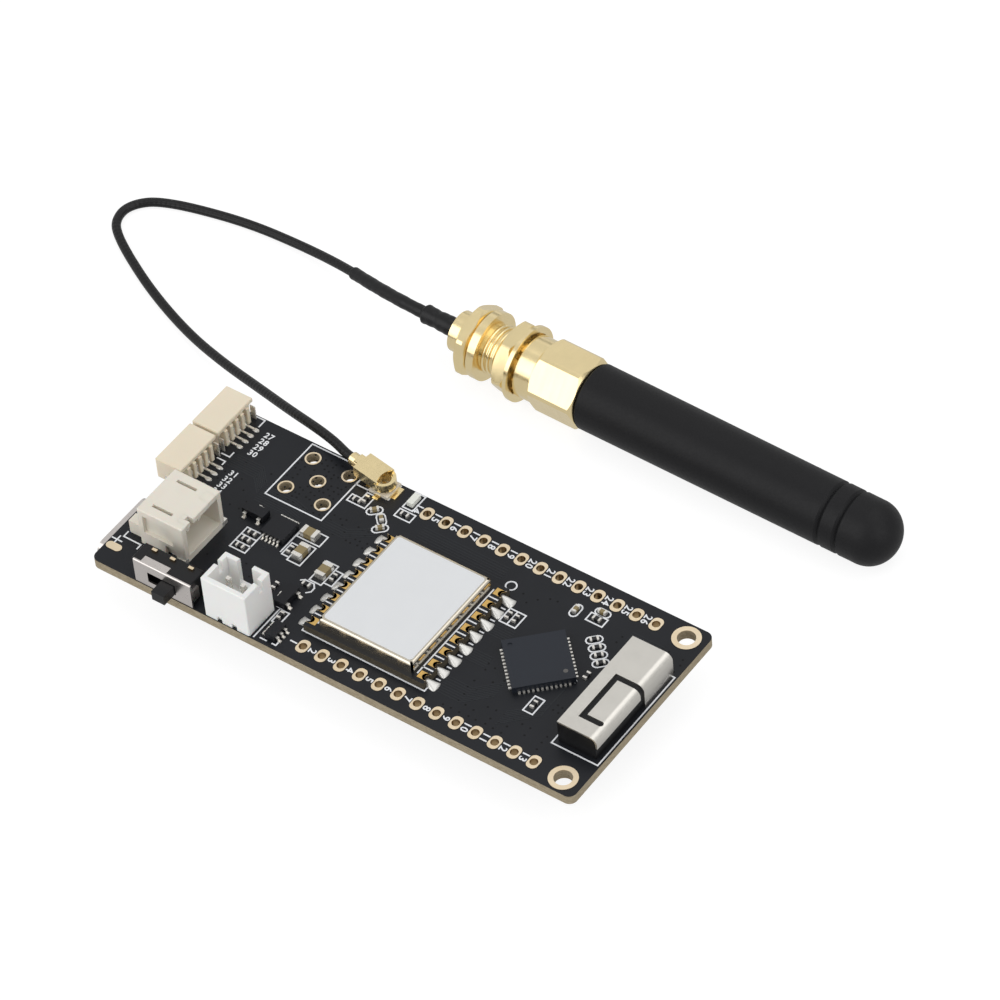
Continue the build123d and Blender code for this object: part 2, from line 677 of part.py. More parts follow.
def battery_connector():
    far = BATTERY_NEAR + BATTERY_WIDTH
    housing = eased(block(BATTERY_REAR, battery_front, BATTERY_NEAR, far, 0, BATTERY_HEIGHT))
    inset = BATTERY_WING_INSET
    for low in (BATTERY_NEAR + inset, far - inset - BATTERY_WING_WIDTH):
        housing += block(BATTERY_REAR - BATTERY_WING_LENGTH, BATTERY_REAR, low, low + BATTERY_WING_WIDTH,
                         0, BATTERY_WING_HEIGHT)
    for start, end, low, high in (BATTERY_WINDOW, BATTERY_POCKET):
        for y in (BATTERY_NEAR, far):
            housing -= block(BATTERY_REAR + start, BATTERY_REAR + end, y - BATTERY_RECESS,
                             y + BATTERY_RECESS, low, high)
    housing -= battery_cavity()
    start = BATTERY_REAR + BATTERY_SLOT_FROM_REAR
    for y in spread(2, BATTERY_SLOT_PITCH):
        low = battery_middle + y - BATTERY_SLOT_WIDTH / 2
        housing -= block(start, start + BATTERY_SLOT_LENGTH, low, low + BATTERY_SLOT_WIDTH,
                         BATTERY_HEIGHT - BATTERY_WALL, BATTERY_HEIGHT)
    return housing - battery_pins()


upright_x = UPRIGHT_LEFT + UPRIGHT_LENGTH / 2
upright_y = UPRIGHT_NEAR + UPRIGHT_WIDTH / 2


def upright_pin_places():
    return [(upright_x + x, upright_y) for x in spread(2, UPRIGHT_PIN_PITCH)]


def upright_pins():
    tail = UPRIGHT_PIN_TOP + UPRIGHT_TAIL + BOARD_THICKNESS
    low = board_bottom - UPRIGHT_TAIL
    return group(standing(*p, UPRIGHT_PIN, UPRIGHT_PIN, low, tail) for p in upright_pin_places())


def upright_connector():
    far = UPRIGHT_NEAR + UPRIGHT_WIDTH
    housing = eased(standing(upright_x, upright_y, UPRIGHT_LENGTH, UPRIGHT_WIDTH, 0, UPRIGHT_HEIGHT))
    inside = (UPRIGHT_LENGTH - 2 * UPRIGHT_WALL, UPRIGHT_WIDTH - 2 * UPRIGHT_WALL)
    housing -= standing(upright_x, upright_y, *inside, UPRIGHT_FLOOR, UPRIGHT_HEIGHT)
    housing -= standing(upright_x, far, UPRIGHT_SLOT_WIDTH, 2 * UPRIGHT_WALL, UPRIGHT_SLOT_BASE,
                        UPRIGHT_HEIGHT)
    housing -= standing(upright_x, upright_y + UPRIGHT_NOTCH_SHIFT, 2 * UPRIGHT_LENGTH,
                        UPRIGHT_NOTCH_WIDTH, UPRIGHT_HEIGHT - UPRIGHT_NOTCH_DEPTH, UPRIGHT_HEIGHT)
    housing -= standing(upright_x + UPRIGHT_SLIT_X, far, UPRIGHT_SLIT_WIDTH, 2 * UPRIGHT_SLIT_DEPTH,
                        UPRIGHT_SLIT_LOW, UPRIGHT_SLIT_HIGH - UPRIGHT_SLIT_LOW)
    for x in spread(2, UPRIGHT_PIN_PITCH):
        housing -= standing(upright_x + x, UPRIGHT_NEAR, UPRIGHT_FOOT_NOTCH, UPRIGHT_WALL, 0,
                            UPRIGHT_FOOT_NOTCH)
    return housing - upright_pins()


side_front = board_left - SIDE_OVERHANG
side_rear = side_front + SIDE_DEPTH
cover_end = side_rear - SIDE_COVER_SETBACK
drop_end = side_rear - SIDE_PIN_FROM_REAR


def side_pins(y_middle):
    half = SIDE_PIN_WIDTH / 2
    pins = []
    for y in spread(SIDE_PINS, SIDE_PIN_PITCH):
        low, high = y_middle + y - half, y_middle + y + half
        level = (SIDE_PIN_HEIGHT - half, SIDE_PIN_HEIGHT + half)
        start = side_rear - SIDE_BACK_WALL - SIDE_PIN_FREE
        blade = block(start, drop_end, low, high, *level)
        drop = block(drop_end - SIDE_PIN_WIDTH, drop_end, low, high, 0, level[1])
        foot = block(drop_end - SIDE_PIN_WIDTH, side_rear + SIDE_TAIL, low, high, 0, LEAD_SHEET)
        pins.append(blade + drop + foot)
    return pins


# A covered mouth, and behind it a lower block with one open slot for each pin
def side_connector(y_middle):
    near, far = y_middle - SIDE_WIDTH / 2, y_middle + SIDE_WIDTH / 2
    housing = eased(block(side_front, cover_end, near, far, 0, SIDE_HEIGHT))
    rear = block(cover_end - MOULDED_EDGE, side_rear, near, far, 0, SIDE_RIB_HEIGHT)
    edge = rear.edges().filter_by(Axis.Y).group_by(Axis.Z)[-1].sort_by(Axis.X)[-1]
    housing += chamfer(edge, SIDE_RIB_BEVEL)
    housing -= block(side_front, side_rear - SIDE_BACK_WALL, near + SIDE_WALL, far - SIDE_WALL, SIDE_WALL,
                     SIDE_HEIGHT - SIDE_WALL)
    half = SIDE_PIN_WIDTH / 2 + SIDE_PIN_CLEARANCE
    for y in spread(SIDE_PINS, SIDE_PIN_PITCH):
        housing -= block(cover_end, side_rear, y_middle + y - half, y_middle + y + half, 0, SIDE_HEIGHT)
    return housing - side_pins(y_middle)


# Soldered metal tabs on the two ends of a side connector
def side_anchors(y_middle):
    tabs = []
    for side in (-1, 1):
        y = y_middle + side * (SIDE_WIDTH + SIDE_ANCHOR_WIDTH) / 2
        x = board_left + SIDE_ANCHOR_LENGTH / 2
        tabs.append(standing(x, y, SIDE_ANCHOR_LENGTH, SIDE_ANCHOR_WIDTH, 0, SIDE_ANCHOR_HEIGHT))
    return tabs


def side_connector_pins():
    return group(pin for y in SIDE_CONNECTOR_Y for pin in side_pins(y) + side_anchors(y))


switch_back = SWITCH_FRONT + SWITCH_SHEET + SWITCH_BODY_DEPTH
window_left = SWITCH_X - SWITCH_WINDOW_LENGTH / 2
window_right = SWITCH_X + SWITCH_WINDOW_LENGTH / 2
knob_right = window_right - KNOB_CLEARANCE
knob_left = knob_right - KNOB_LENGTH
knob_low = SWITCH_WINDOW_LOW + KNOB_CLEARANCE
knob_high = SWITCH_WINDOW_HIGH - KNOB_CLEARANCE
flange_front = SWITCH_FRONT + SWITCH_SHEET + KNOB_CLEARANCE


# The knob at rest, at the right end of its travel, with a flange behind the cover's window
def switch_knob():
    stem = block(knob_left, knob_right, SWITCH_FRONT - KNOB_PROTRUSION, flange_front, knob_low, knob_high)
    flange = block(knob_left - KNOB_FLANGE_REACH, knob_right + KNOB_FLANGE_REACH, flange_front,
                   flange_front + KNOB_FLANGE_DEPTH, knob_low - KNOB_FLANGE_REACH,
                   knob_high + KNOB_FLANGE_REACH)
    return stem + flange


def switch_body():
    front = SWITCH_FRONT + SWITCH_SHEET
    body = eased(block(SWITCH_X - SWITCH_BODY_LEFT, SWITCH_X + SWITCH_BODY_RIGHT, front, switch_back, 0,
                       SWITCH_HEIGHT - SWITCH_SHEET))
    room = KNOB_FLANGE_REACH + KNOB_CLEARANCE
    body -= block(knob_left - KNOB_TRAVEL - room, knob_right + room, front,
                  flange_front + KNOB_FLANGE_DEPTH + KNOB_CLEARANCE, knob_low - room, knob_high + room)
    return body - switch_terminals()


# Front plate, top tab and side tab of one folded sheet
def switch_cover():
    left, right = SWITCH_X - SWITCH_COVER_LEFT, SWITCH_X + SWITCH_COVER_RIGHT
    back = SWITCH_FRONT + SWITCH_SHEET
    cover = block(left, right, SWITCH_FRONT, back, 0, SWITCH_HEIGHT)
    cover -= block(window_left, window_right, SWITCH_FRONT, back, SWITCH_WINDOW_LOW, SWITCH_WINDOW_HIGH)
    middle = SWITCH_X + SWITCH_TAB_SHIFT
    cover += block(middle - SWITCH_TAB_LENGTH / 2, middle + SWITCH_TAB_LENGTH / 2, SWITCH_FRONT,
                   SWITCH_FRONT + SWITCH_TAB_DEPTH, SWITCH_HEIGHT - SWITCH_SHEET, SWITCH_HEIGHT)
    cover += block(right - SWITCH_SHEET, right, SWITCH_FRONT, SWITCH_FRONT + SWITCH_SIDE_TAB_DEPTH,
                   SWITCH_SIDE_TAB_LOW, SWITCH_SIDE_TAB_HIGH)
    fold = cover.edges().filter_by(Axis.X).group_by(Axis.Z)[-1].group_by(Axis.Y)[0]
    return fillet(fold, SWITCH_FOLD_RADIUS)


def switch_terminals():
    base = SWITCH_HEIGHT - SWITCH_TERMINAL_HEIGHT
    return group(standing(SWITCH_X + x, SWITCH_TERMINAL_Y, SWITCH_TERMINAL_LENGTH,
                          SWITCH_TERMINAL_WIDTH, base, SWITCH_TERMINAL_HEIGHT)
                 for x in spread(3, SWITCH_TERMINAL_PITCH))


def coax_socket_base():
    base = standing(0, 0, COAX_BASE_SIDE, COAX_BASE_SIDE, 0, COAX_BASE_HEIGHT)
    return Pos(COAX_X, coax_y) * base


# The grounded ring, its two side pads and the centre contact
def coax_socket_ring():
    wall = Circle(COAX_RING_RADIUS) - Circle(COAX_RING_RADIUS - COAX_RING_WALL)
    ring = Pos(0, 0, COAX_BASE_HEIGHT) * extrude(wall, COAX_RING_HEIGHT)
    contact = Pos(0, 0, COAX_BASE_HEIGHT) * extrude(Circle(COAX_CONTACT_RADIUS), COAX_CONTACT_HEIGHT)
    edge = COAX_BASE_SIDE / 2 + COAX_PAD / 2
    pads = [standing(x, 0, COAX_PAD, COAX_SIDE_PAD, 0, LEAD_HEIGHT) for x in (-edge, edge)]
    pads.append(standing(0, -edge, COAX_PAD, COAX_PAD, 0, LEAD_HEIGHT))
    return group(Pos(COAX_X, coax_y) * shape for shape in [ring, contact] + pads)


plug_low = COAX_BASE_HEIGHT + PLUG_LIFT
plug_axis = plug_low + PLUG_HEIGHT - PLUG_CRIMP_RADIUS


# A folded hood: a round clip that grips the ring, a plate with two sides, and a crimped barrel
def coax_plug():
    inside = PLUG_HEIGHT - PLUG_SHEET
    half = PLUG_PLATE_WIDTH / 2
    end = PLUG_FRONT + PLUG_PLATE_LENGTH
    clip = Circle(PLUG_CLIP_RADIUS) - Circle(COAX_RING_RADIUS + PLUG_GAP)
    hood = extrude(clip, PLUG_HEIGHT - PLUG_CLIP_DROP)
    hood += block(PLUG_FRONT, end, -half, half, inside, PLUG_HEIGHT)
    mouth = Pos(PLUG_FRONT + PLUG_MOUTH_DEPTH - PLUG_MOUTH_RADIUS, 0, inside)
    hood -= mouth * extrude(Circle(PLUG_MOUTH_RADIUS), PLUG_SHEET)
    for low in (-half, half - PLUG_SHEET):
        hood += block(PLUG_FRONT, end, low, low + PLUG_SHEET, 0, PLUG_HEIGHT)
    hood += block(end, PLUG_CRIMP_START + PLUG_CRIMP_LENGTH / 2, -PLUG_STRAP_WIDTH / 2,
                  PLUG_STRAP_WIDTH / 2, inside, PLUG_HEIGHT)
    barrel = extrude(Plane.YZ * Circle(PLUG_CRIMP_RADIUS), PLUG_CRIMP_LENGTH)
    hood += Pos(PLUG_CRIMP_START, 0, PLUG_HEIGHT - PLUG_CRIMP_RADIUS) * barrel
    return Pos(COAX_X, coax_y, plug_low) * Rot(0, 0, PLUG_TURN) * hood


# A point on the cable's way out of the plug, so far from the barrel's mouth
def plug_point(distance):
    reach = PLUG_CRIMP_START + PLUG_CRIMP_LENGTH + distance
    turn = math.radians(PLUG_TURN)
    return (COAX_X + reach * math.cos(turn), coax_y + reach * math.sin(turn), plug_axis)


# Body and both end caps of a leadless part along X
def leadless(size):
    length, width, height = size
    cap = length * TERMINAL_SHARE
    body = standing(0, 0, length - 2 * cap, width - 2 * TERMINAL_SKIN, 0, height - TERMINAL_SKIN)
    ends = [standing(x, 0, cap, width, 0, height) for x in (cap / 2 - length / 2, length / 2 - cap / 2)]
    return body, ends


def leadless_bodies(places, size):
    return group(Pos(x, y) * Rot(0, 0, turn) * leadless(size)[0] for x, y, turn in places)


def leadless_ends():
    ends = []
    for places, size in ((RESISTORS, RESISTOR_SIZE), (SMALL_CAPACITORS, SMALL_CAPACITOR_SIZE),
                         (LARGE_CAPACITORS, LARGE_CAPACITOR_SIZE)):
        for x, y, turn in places:
            ends += [Pos(x, y) * Rot(0, 0, turn) * end for end in leadless(size)[1]]
    return group(ends)


def capacitors():
    small = leadless_bodies(SMALL_CAPACITORS, SMALL_CAPACITOR_SIZE)
    large = leadless_bodies(LARGE_CAPACITORS, LARGE_CAPACITOR_SIZE)
    return group(list(small.solids()) + list(large.solids()))


def status_led():
    length, width, height = LED_SIZE
    return standing(LED_X, board_far - LED_FROM_FAR_EDGE, width, length, 0, height)


# A gull wing lead that leaves a body's side at X = 0, half way up, and lies flat on its pad
def gull_lead(body_height, width):
    level = body_height / 2
    knee = LEAD_KNEE + LEAD_SHEET
    points = [(0, level), (LEAD_KNEE, level), (LEAD_KNEE, 0), (LEAD_REACH, 0), (LEAD_REACH, LEAD_SHEET),
              (knee, LEAD_SHEET), (knee, level + LEAD_SHEET), (0, level + LEAD_SHEET)]
    return extrude(Plane.XZ * make_face(Polyline(points, close=True)), width / 2, both=True)


def moulded_body(size):
    length, width, height = size
    return standing(0, 0, length, width, LEAD_STAND_OFF, height - LEAD_STAND_OFF)


def transistor_place(x, y, turn):
    return Pos(x, y) * Rot(0, 0, turn)


def transistors():
    return group(transistor_place(*p) * moulded_body(TRANSISTOR_SIZE) for p in TRANSISTORS)


def side_leads(size, front, rear, width):
    lead = gull_lead(size[2], width)
    half = size[1] / 2
    leads = [Pos(x, half) * Rot(0, 0, 90) * lead for x in rear]
    return leads + [Pos(x, -half) * Rot(0, 0, -90) * lead for x in front]


def transistor_leads():
    leads = side_leads(TRANSISTOR_SIZE, (-TRANSISTOR_PITCH, TRANSISTOR_PITCH), (0,),
                       TRANSISTOR_LEAD_WIDTH)
    return group(transistor_place(*p) * lead for p in TRANSISTORS for lead in leads)


def regulator_place():
    return Pos(REGULATOR_X, REGULATOR_Y) * Rot(0, 0, 90)


def regulator():
    return regulator_place() * moulded_body(REGULATOR_SIZE)


def charger():
    body = moulded_body((CHARGER_SIDE, CHARGER_SIDE, CHARGER_HEIGHT))
    return Pos(CHARGER_X, CHARGER_Y) * body


def chip_leads():
    size = (CHARGER_SIDE, CHARGER_SIDE, CHARGER_HEIGHT)
    row = spread(CHARGER_LEADS, CHARGER_PITCH)
    place = Pos(CHARGER_X, CHARGER_Y)
    leads = [place * lead for lead in side_leads(size, row, row, CHARGER_LEAD_WIDTH)]
    row = spread(3, REGULATOR_PITCH)
    place = regulator_place()
    leads += [place * lead for lead in side_leads(REGULATOR_SIZE, row, row, REGULATOR_LEAD_WIDTH)]
    return group(leads)


def display_panel():
    return standing(DISPLAY_X, DISPLAY_Y, DISPLAY_LENGTH, DISPLAY_WIDTH, table, DISPLAY_THICKNESS)


# A rim that carries the display clear of the parts under the board, open for the ribbon and card
def display_frame():
    length = DISPLAY_LENGTH - 2 * FRAME_MARGIN
    width = DISPLAY_WIDTH - 2 * FRAME_MARGIN
    rim = standing(0, 0, length, width, 0, FRAME_HEIGHT)
    rim -= standing(0, 0, length - 2 * FRAME_WALL, width - 2 * FRAME_WALL, 0, FRAME_HEIGHT)
    gap = RIBBON_WIDTH + 2 * CARD_ROOM
    rim -= standing(length / 2, 0, 3 * FRAME_WALL, gap, FRAME_HEIGHT - RIBBON_GAP, RIBBON_GAP)
    tall = CARD_HEIGHT + CARD_ROOM
    rim -= standing(card_x - DISPLAY_X, width / 2, CARD_LENGTH + 2 * CARD_ROOM, 3 * FRAME_WALL,
                    FRAME_HEIGHT - tall, tall)
    return Pos(DISPLAY_X, DISPLAY_Y, board_bottom - FRAME_HEIGHT) * rim


# Flexible print that leaves the panel's right edge, turns up and is soldered to the board
def display_ribbon():
    edge = DISPLAY_X + DISPLAY_LENGTH / 2
    low = table + DISPLAY_THICKNESS - RIBBON_THICKNESS
    high = board_bottom - RIBBON_THICKNESS / 2
    middle = (low + high) / 2
    path = Polyline((edge, low), (edge + RIBBON_REACH / 2, low)) + ThreePointArc(
        (edge + RIBBON_REACH / 2, low), (edge + RIBBON_REACH, middle), (edge + RIBBON_REACH / 2, high)
    ) + Polyline((edge + RIBBON_REACH / 2, high), (edge - RIBBON_REACH, high))
    strip = Plane.XZ * trace(path, RIBBON_THICKNESS)
    return Pos(0, DISPLAY_Y) * extrude(strip, RIBBON_WIDTH / 2, both=True)


def usb_place():
    return Pos(board_left - USB_OVERHANG, USB_Y, board_bottom - USB_HEIGHT / 2)


def usb_outline(inset):
    width, height = USB_WIDTH - 2 * inset, USB_HEIGHT - 2 * inset
    return Plane.YZ * RectangleRounded(width, height, USB_ROUNDING)


def usb_shell():
    shell = extrude(usb_outline(0), USB_DEPTH) - extrude(usb_outline(USB_SHEET), USB_DEPTH - USB_SHEET)
    return usb_place() * shell


def usb_tongue():
    start = USB_DEPTH - USB_SHEET - USB_TONGUE_LENGTH
    tongue = block(start, USB_DEPTH - USB_SHEET, -USB_TONGUE_WIDTH / 2, USB_TONGUE_WIDTH / 2,
                   -USB_TONGUE_HEIGHT / 2, USB_TONGUE_HEIGHT / 2)
    return usb_place() * tongue


# A folded steel cage with its mouth at the board's far edge
def card_socket():
    cage = standing(0, 0, CARD_LENGTH, CARD_WIDTH, 0, CARD_HEIGHT)
    mouth = CARD_WIDTH / 2 - CARD_SLOT_DEPTH
    cage -= block(-CARD_MOUTH_WIDTH / 2, CARD_MOUTH_WIDTH / 2, -CARD_WIDTH / 2, -mouth, CARD_SHEET,
                  CARD_SHEET + CARD_MOUTH_HEIGHT)
    return hung(cage, card_x, CARD_Y)


def usb_bridge():
    return hung(standing(0, 0, BRIDGE_SIDE, BRIDGE_SIDE, 0, BRIDGE_HEIGHT), BRIDGE_X, BRIDGE_Y)


def reset_case():
    case = standing(0, 0, RESET_LENGTH, RESET_WIDTH, 0, RESET_HEIGHT)
    depth = RESET_TRAVEL + 2 * RESET_CLEARANCE + RESET_CAP_SINK
    hole = Cylinder(RESET_CAP_RADIUS + RESET_CLEARANCE, 2 * depth)
    return hung(case - Pos(0, 0, RESET_HEIGHT) * hole, RESET_X, RESET_Y)


def reset_cap():
    foot = RESET_HEIGHT - RESET_CAP_SINK
    cap = Pos(0, 0, foot) * extrude(Circle(RESET_CAP_RADIUS), RESET_CAP_RISE + RESET_CAP_SINK)
    return hung(cap, RESET_X, RESET_Y)


# A hexagon with corners turned off at both ends, between two points of the antenna's axis
def turned_hexagon(flats, corner, start, end):
    hexagon = extrude(Plane.YZ * RegularPolygon(flats / 2, 6, major_radius=False), end - start)
    slope = math.tan(math.radians(CHAMFER_SLOPE))
    rim = flats / 2 - CHAMFER_INSET
    drop = (flats / math.sqrt(3) - rim) * slope
    profile = Polyline((0, 0), (0, rim), (drop, corner), (end - start - drop, corner),
                       (end - start, rim), (end - start, 0), close=True)
    envelope = revolve(make_face(profile), Axis.X)
    return Pos(start, 0, 0) * (hexagon & envelope)


def turned(start, end, radius):
    return Pos(start, 0, 0) * extrude(Plane.YZ * Circle(radius), end - start)


def coupling_nut():
    nut = Rot(COUPLING_TURN) * turned_hexagon(COUPLING_FLATS, COUPLING_CORNER, -COUPLING_HEX_LENGTH, 0)
    nut += turned(collar_end, -COUPLING_HEX_LENGTH + COLLAR_OVERLAP, COUPLING_COLLAR_RADIUS)
    nut -= turned(collar_end, -COUPLING_END_WALL, THREAD_RADIUS + THREAD_CLEARANCE)
    return nut - turned(-COUPLING_END_WALL, 0, ROD_BORE)


thread_end = -COUPLING_END_WALL - THREAD_END_GAP


# The thread itself is left to the picture; where it shows, this is its core
def jack_body():
    body = turned(nut_back, thread_end, THREAD_RADIUS)
    body += turned(shoulder_face, nut_back, THREAD_CORE_RADIUS)
    body += turned(shoulder_face - SHOULDER_THICKNESS, shoulder_face, SHOULDER_RADIUS)
    body += turned(flange_face, shoulder_face - SHOULDER_THICKNESS, THREAD_RADIUS)
    body += Rot(FLANGE_TURN) * turned_hexagon(FLANGE_FLATS, FLANGE_CORNER, hub_face, flange_face)
    body += turned(jack_end, hub_face, HUB_RADIUS)
    body -= turned(flange_face, thread_end, JACK_BORE)
    return body - turned(jack_end, flange_face, HUB_BORE)


def jack_insulator():
    sleeve = turned(flange_face, thread_end - JACK_INSULATOR_SETBACK, JACK_BORE)
    return sleeve - turned(flange_face, thread_end, JACK_CONTACT_RADIUS)


def jack_contact():
    return turned(flange_face, thread_end - JACK_INSULATOR_SETBACK, JACK_CONTACT_RADIUS)


def panel_nut():
    nut = turned_hexagon(NUT_FLATS, NUT_CORNER, nut_back, nut_face)
    return nut - turned(nut_back, nut_face, THREAD_RADIUS + THREAD_CLEARANCE)


# A flat ring with short teeth that reach in towards the thread
def star_washer():
    bore = THREAD_RADIUS + THREAD_CLEARANCE
    ring = Circle(WASHER_RADIUS) - Circle(bore)
    gap = 2 * math.pi * bore / WASHER_TEETH / 2
    cut = Pos(bore, 0) * Rectangle(2 * WASHER_TOOTH_REACH, gap)
    ring -= [Rot(0, 0, i * 360 / WASHER_TEETH) * cut for i in range(WASHER_TEETH)]
    return Pos(nut_face, 0, 0) * extrude(Plane.YZ * ring, WASHER_THICKNESS)


def rod_outline():
    points = [(0, 0), (0, ROD_RADIUS - ROD_EDGE), (ROD_EDGE, ROD_RADIUS)]
    for from_tip in ROD_GROOVE_FROM_TIP:
        middle = ROD_LENGTH + ROD_DOME - from_tip
        radius = ROD_RADIUS + (ROD_TIP_RADIUS - ROD_RADIUS) * middle / ROD_LENGTH
        half = ROD_GROOVE_WIDTH / 2
        points += [(middle - half, radius), (middle, radius - ROD_GROOVE_DEPTH), (middle + half, radius)]
    return points + [(ROD_LENGTH, ROD_TIP_RADIUS)]


# Moulded sheath with a domed tip, hollow for the radiator
def antenna_sheath():
    side = Polyline(rod_outline())
    dome = EllipticalCenterArc((ROD_LENGTH, 0), ROD_DOME, ROD_TIP_RADIUS, start_angle=0, arc_size=90)
    base = Line((ROD_LENGTH + ROD_DOME, 0), (0, 0))
    solid = revolve(make_face(side + dome + base), Axis.X)
    return solid - turned(0, ROD_LENGTH - ROD_END_WALL, ROD_BORE)


def antenna_radiator():
    return turned(-COUPLING_END_WALL, ROD_LENGTH - ROD_END_WALL - RADIATOR_GAP, ROD_BORE)


# Tilt that lays both the washer's rim and the rod's tip on the table
def antenna_tilt():
    span = ROD_LENGTH - nut_face - WASHER_THICKNESS / 2
    return math.degrees(math.asin((WASHER_RADIUS - ROD_TIP_RADIUS) / span))


def antenna_place():
    tilt = math.radians(antenna_tilt())
    rim = nut_face + WASHER_THICKNESS
    height = table + WASHER_RADIUS * math.cos(tilt) + rim * math.sin(tilt) + ANTENNA_LIFT
    return Pos(ANTENNA_X, ANTENNA_Y, height) * Rot(0, antenna_tilt(), ANTENNA_TURN)


def cable_path():
    leaving = [Vector(*plug_point(reach)) for reach in (0, CABLE_LEAD)]
    arriving = [(antenna_place() * Pos(jack_end - reach, 0, 0)).position for reach in (CABLE_TAIL, 0)]
    return leaving + [Vector(*p) for p in CABLE_ROUTE] + arriving


def bend_radii(points):
    radii = []
    for before, corner, after in zip(points, points[1:], points[2:]):
        turn = math.radians((corner - before).get_angle(after - corner))
        shorter = min((corner - before).length, (after - corner).length)
        radii.append(BEND_SHARE * shorter / math.tan(turn / 2))
    return radii


def cable_wire():
    points = cable_path()
    return FilletPolyline(points, radius=bend_radii(points))


def swept(path, section):
    return sweep(Plane(path @ 0, z_dir=path % 0) * section, path)


def coax_cable():
    path = cable_wire()
    tube = swept(path, Circle(CABLE_RADIUS))
    print("cable length", round(path.length, 2), "radii", [round(r, 1) for r in bend_radii(cable_path())])
    print("volume ratio", round(tube.volume / (path.length * math.pi * CABLE_RADIUS ** 2), 4))
    return tube


# A shrunk sleeve round the cable, between two distances back from the jack
def cable_sleeve(radius, near, far):
    path = cable_wire()
    stretch = path.trim(1 - far / path.length, 1 - near / path.length)
    return swept(stretch, Circle(radius) - Circle(CABLE_RADIUS + SLEEVE_GAP))


def jack_sleeve():
    return cable_sleeve(JACK_SLEEVE_RADIUS, 0, JACK_SLEEVE_LENGTH)


def thin_sleeve():
    return cable_sleeve(THIN_SLEEVE_RADIUS, JACK_SLEEVE_LENGTH, JACK_SLEEVE_LENGTH + THIN_SLEEVE_LENGTH)


ON_BOARD = {
    "circuit_board": circuit_board,
    "header_pads": header_pads,
    "fixing_pads": fixing_pads,
    "jack_pads": jack_pads,
    "battery_pad": battery_pad,
    "radio_carrier": radio_carrier,
    "radio_lands": radio_lands,
    "radio_pads": radio_pads,
    "radio_shield": radio_shield,
    "radio_label": radio_label,
    "radio_chip": radio_chip,
    "radio_crystal": radio_crystal,
    "processor": processor,
    "processor_leads": processor_leads,
    "chip_antenna_block": chip_antenna_block,
    "chip_antenna_plate": chip_antenna_plate,
    "battery_connector": battery_connector,
    "battery_pins": battery_pins,
    "upright_connector": upright_connector,
    "upright_pins": upright_pins,
    "side_connector_middle": lambda: side_connector(SIDE_CONNECTOR_Y[0]),
    "side_connector_far": lambda: side_connector(SIDE_CONNECTOR_Y[1]),
    "side_connector_pins": side_connector_pins,
    "switch_body": switch_body,
    "switch_cover": switch_cover,
    "switch_knob": switch_knob,
    "switch_terminals": switch_terminals,
    "coax_socket_base": coax_socket_base,
    "coax_socket_ring": coax_socket_ring,
    "coax_plug": coax_plug,
    "capacitors": capacitors,
    "resistors": lambda: leadless_bodies(RESISTORS, RESISTOR_SIZE),
    "chip_terminals": leadless_ends,
    "status_led": status_led,
    "transistors": transistors,
    "transistor_leads": transistor_leads,
    "regulator": regulator,
    "charger": charger,
    "chip_leads": chip_leads,
    "display_panel": display_panel,
    "display_frame": display_frame,
    "display_ribbon": display_ribbon,
    "usb_shell": usb_shell,
    "usb_tongue": usb_tongue,
    "card_socket": card_socket,
    "usb_bridge": usb_bridge,
    "reset_case": reset_case,
    "reset_cap": reset_cap,
    "coax_cable": coax_cable,
    "jack_sleeve": jack_sleeve,
    "thin_sleeve": thin_sleeve,
}

ON_ANTENNA = {
    "jack_body": jack_body,
    "jack_insulator": jack_insulator,
    "jack_contact": jack_contact,
    "panel_nut": panel_nut,
    "star_washer": star_washer,
    "coupling_nut": coupling_nut,
    "antenna_sheath": antenna_sheath,
    "antenna_radiator": antenna_radiator,
}

ON_CORD = ("coax_cable", "coax_plug", "jack_sleeve", "thin_sleeve")


def main():
    pieces = {name: make() for name, make in ON_BOARD.items()}
    pieces.update({name: antenna_place() * make() for name, make in ON_ANTENNA.items()})
    box = group(piece for name, piece in pieces.items() if name not in ON_CORD).bounding_box()
    origin = Pos(-(box.min.X + box.max.X) / 2, -(box.min.Y + box.max.Y) / 2, -box.min.Z)
    print("first header hole", [round(v, 4) for v in origin.position])
    for name, piece in pieces.items():
        export_step(origin * piece, f"parts/{name}.step")


main()
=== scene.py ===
import math
import random

import bmesh
import bpy
import numpy as np
from mathutils import Matrix, Quaternion, Vector


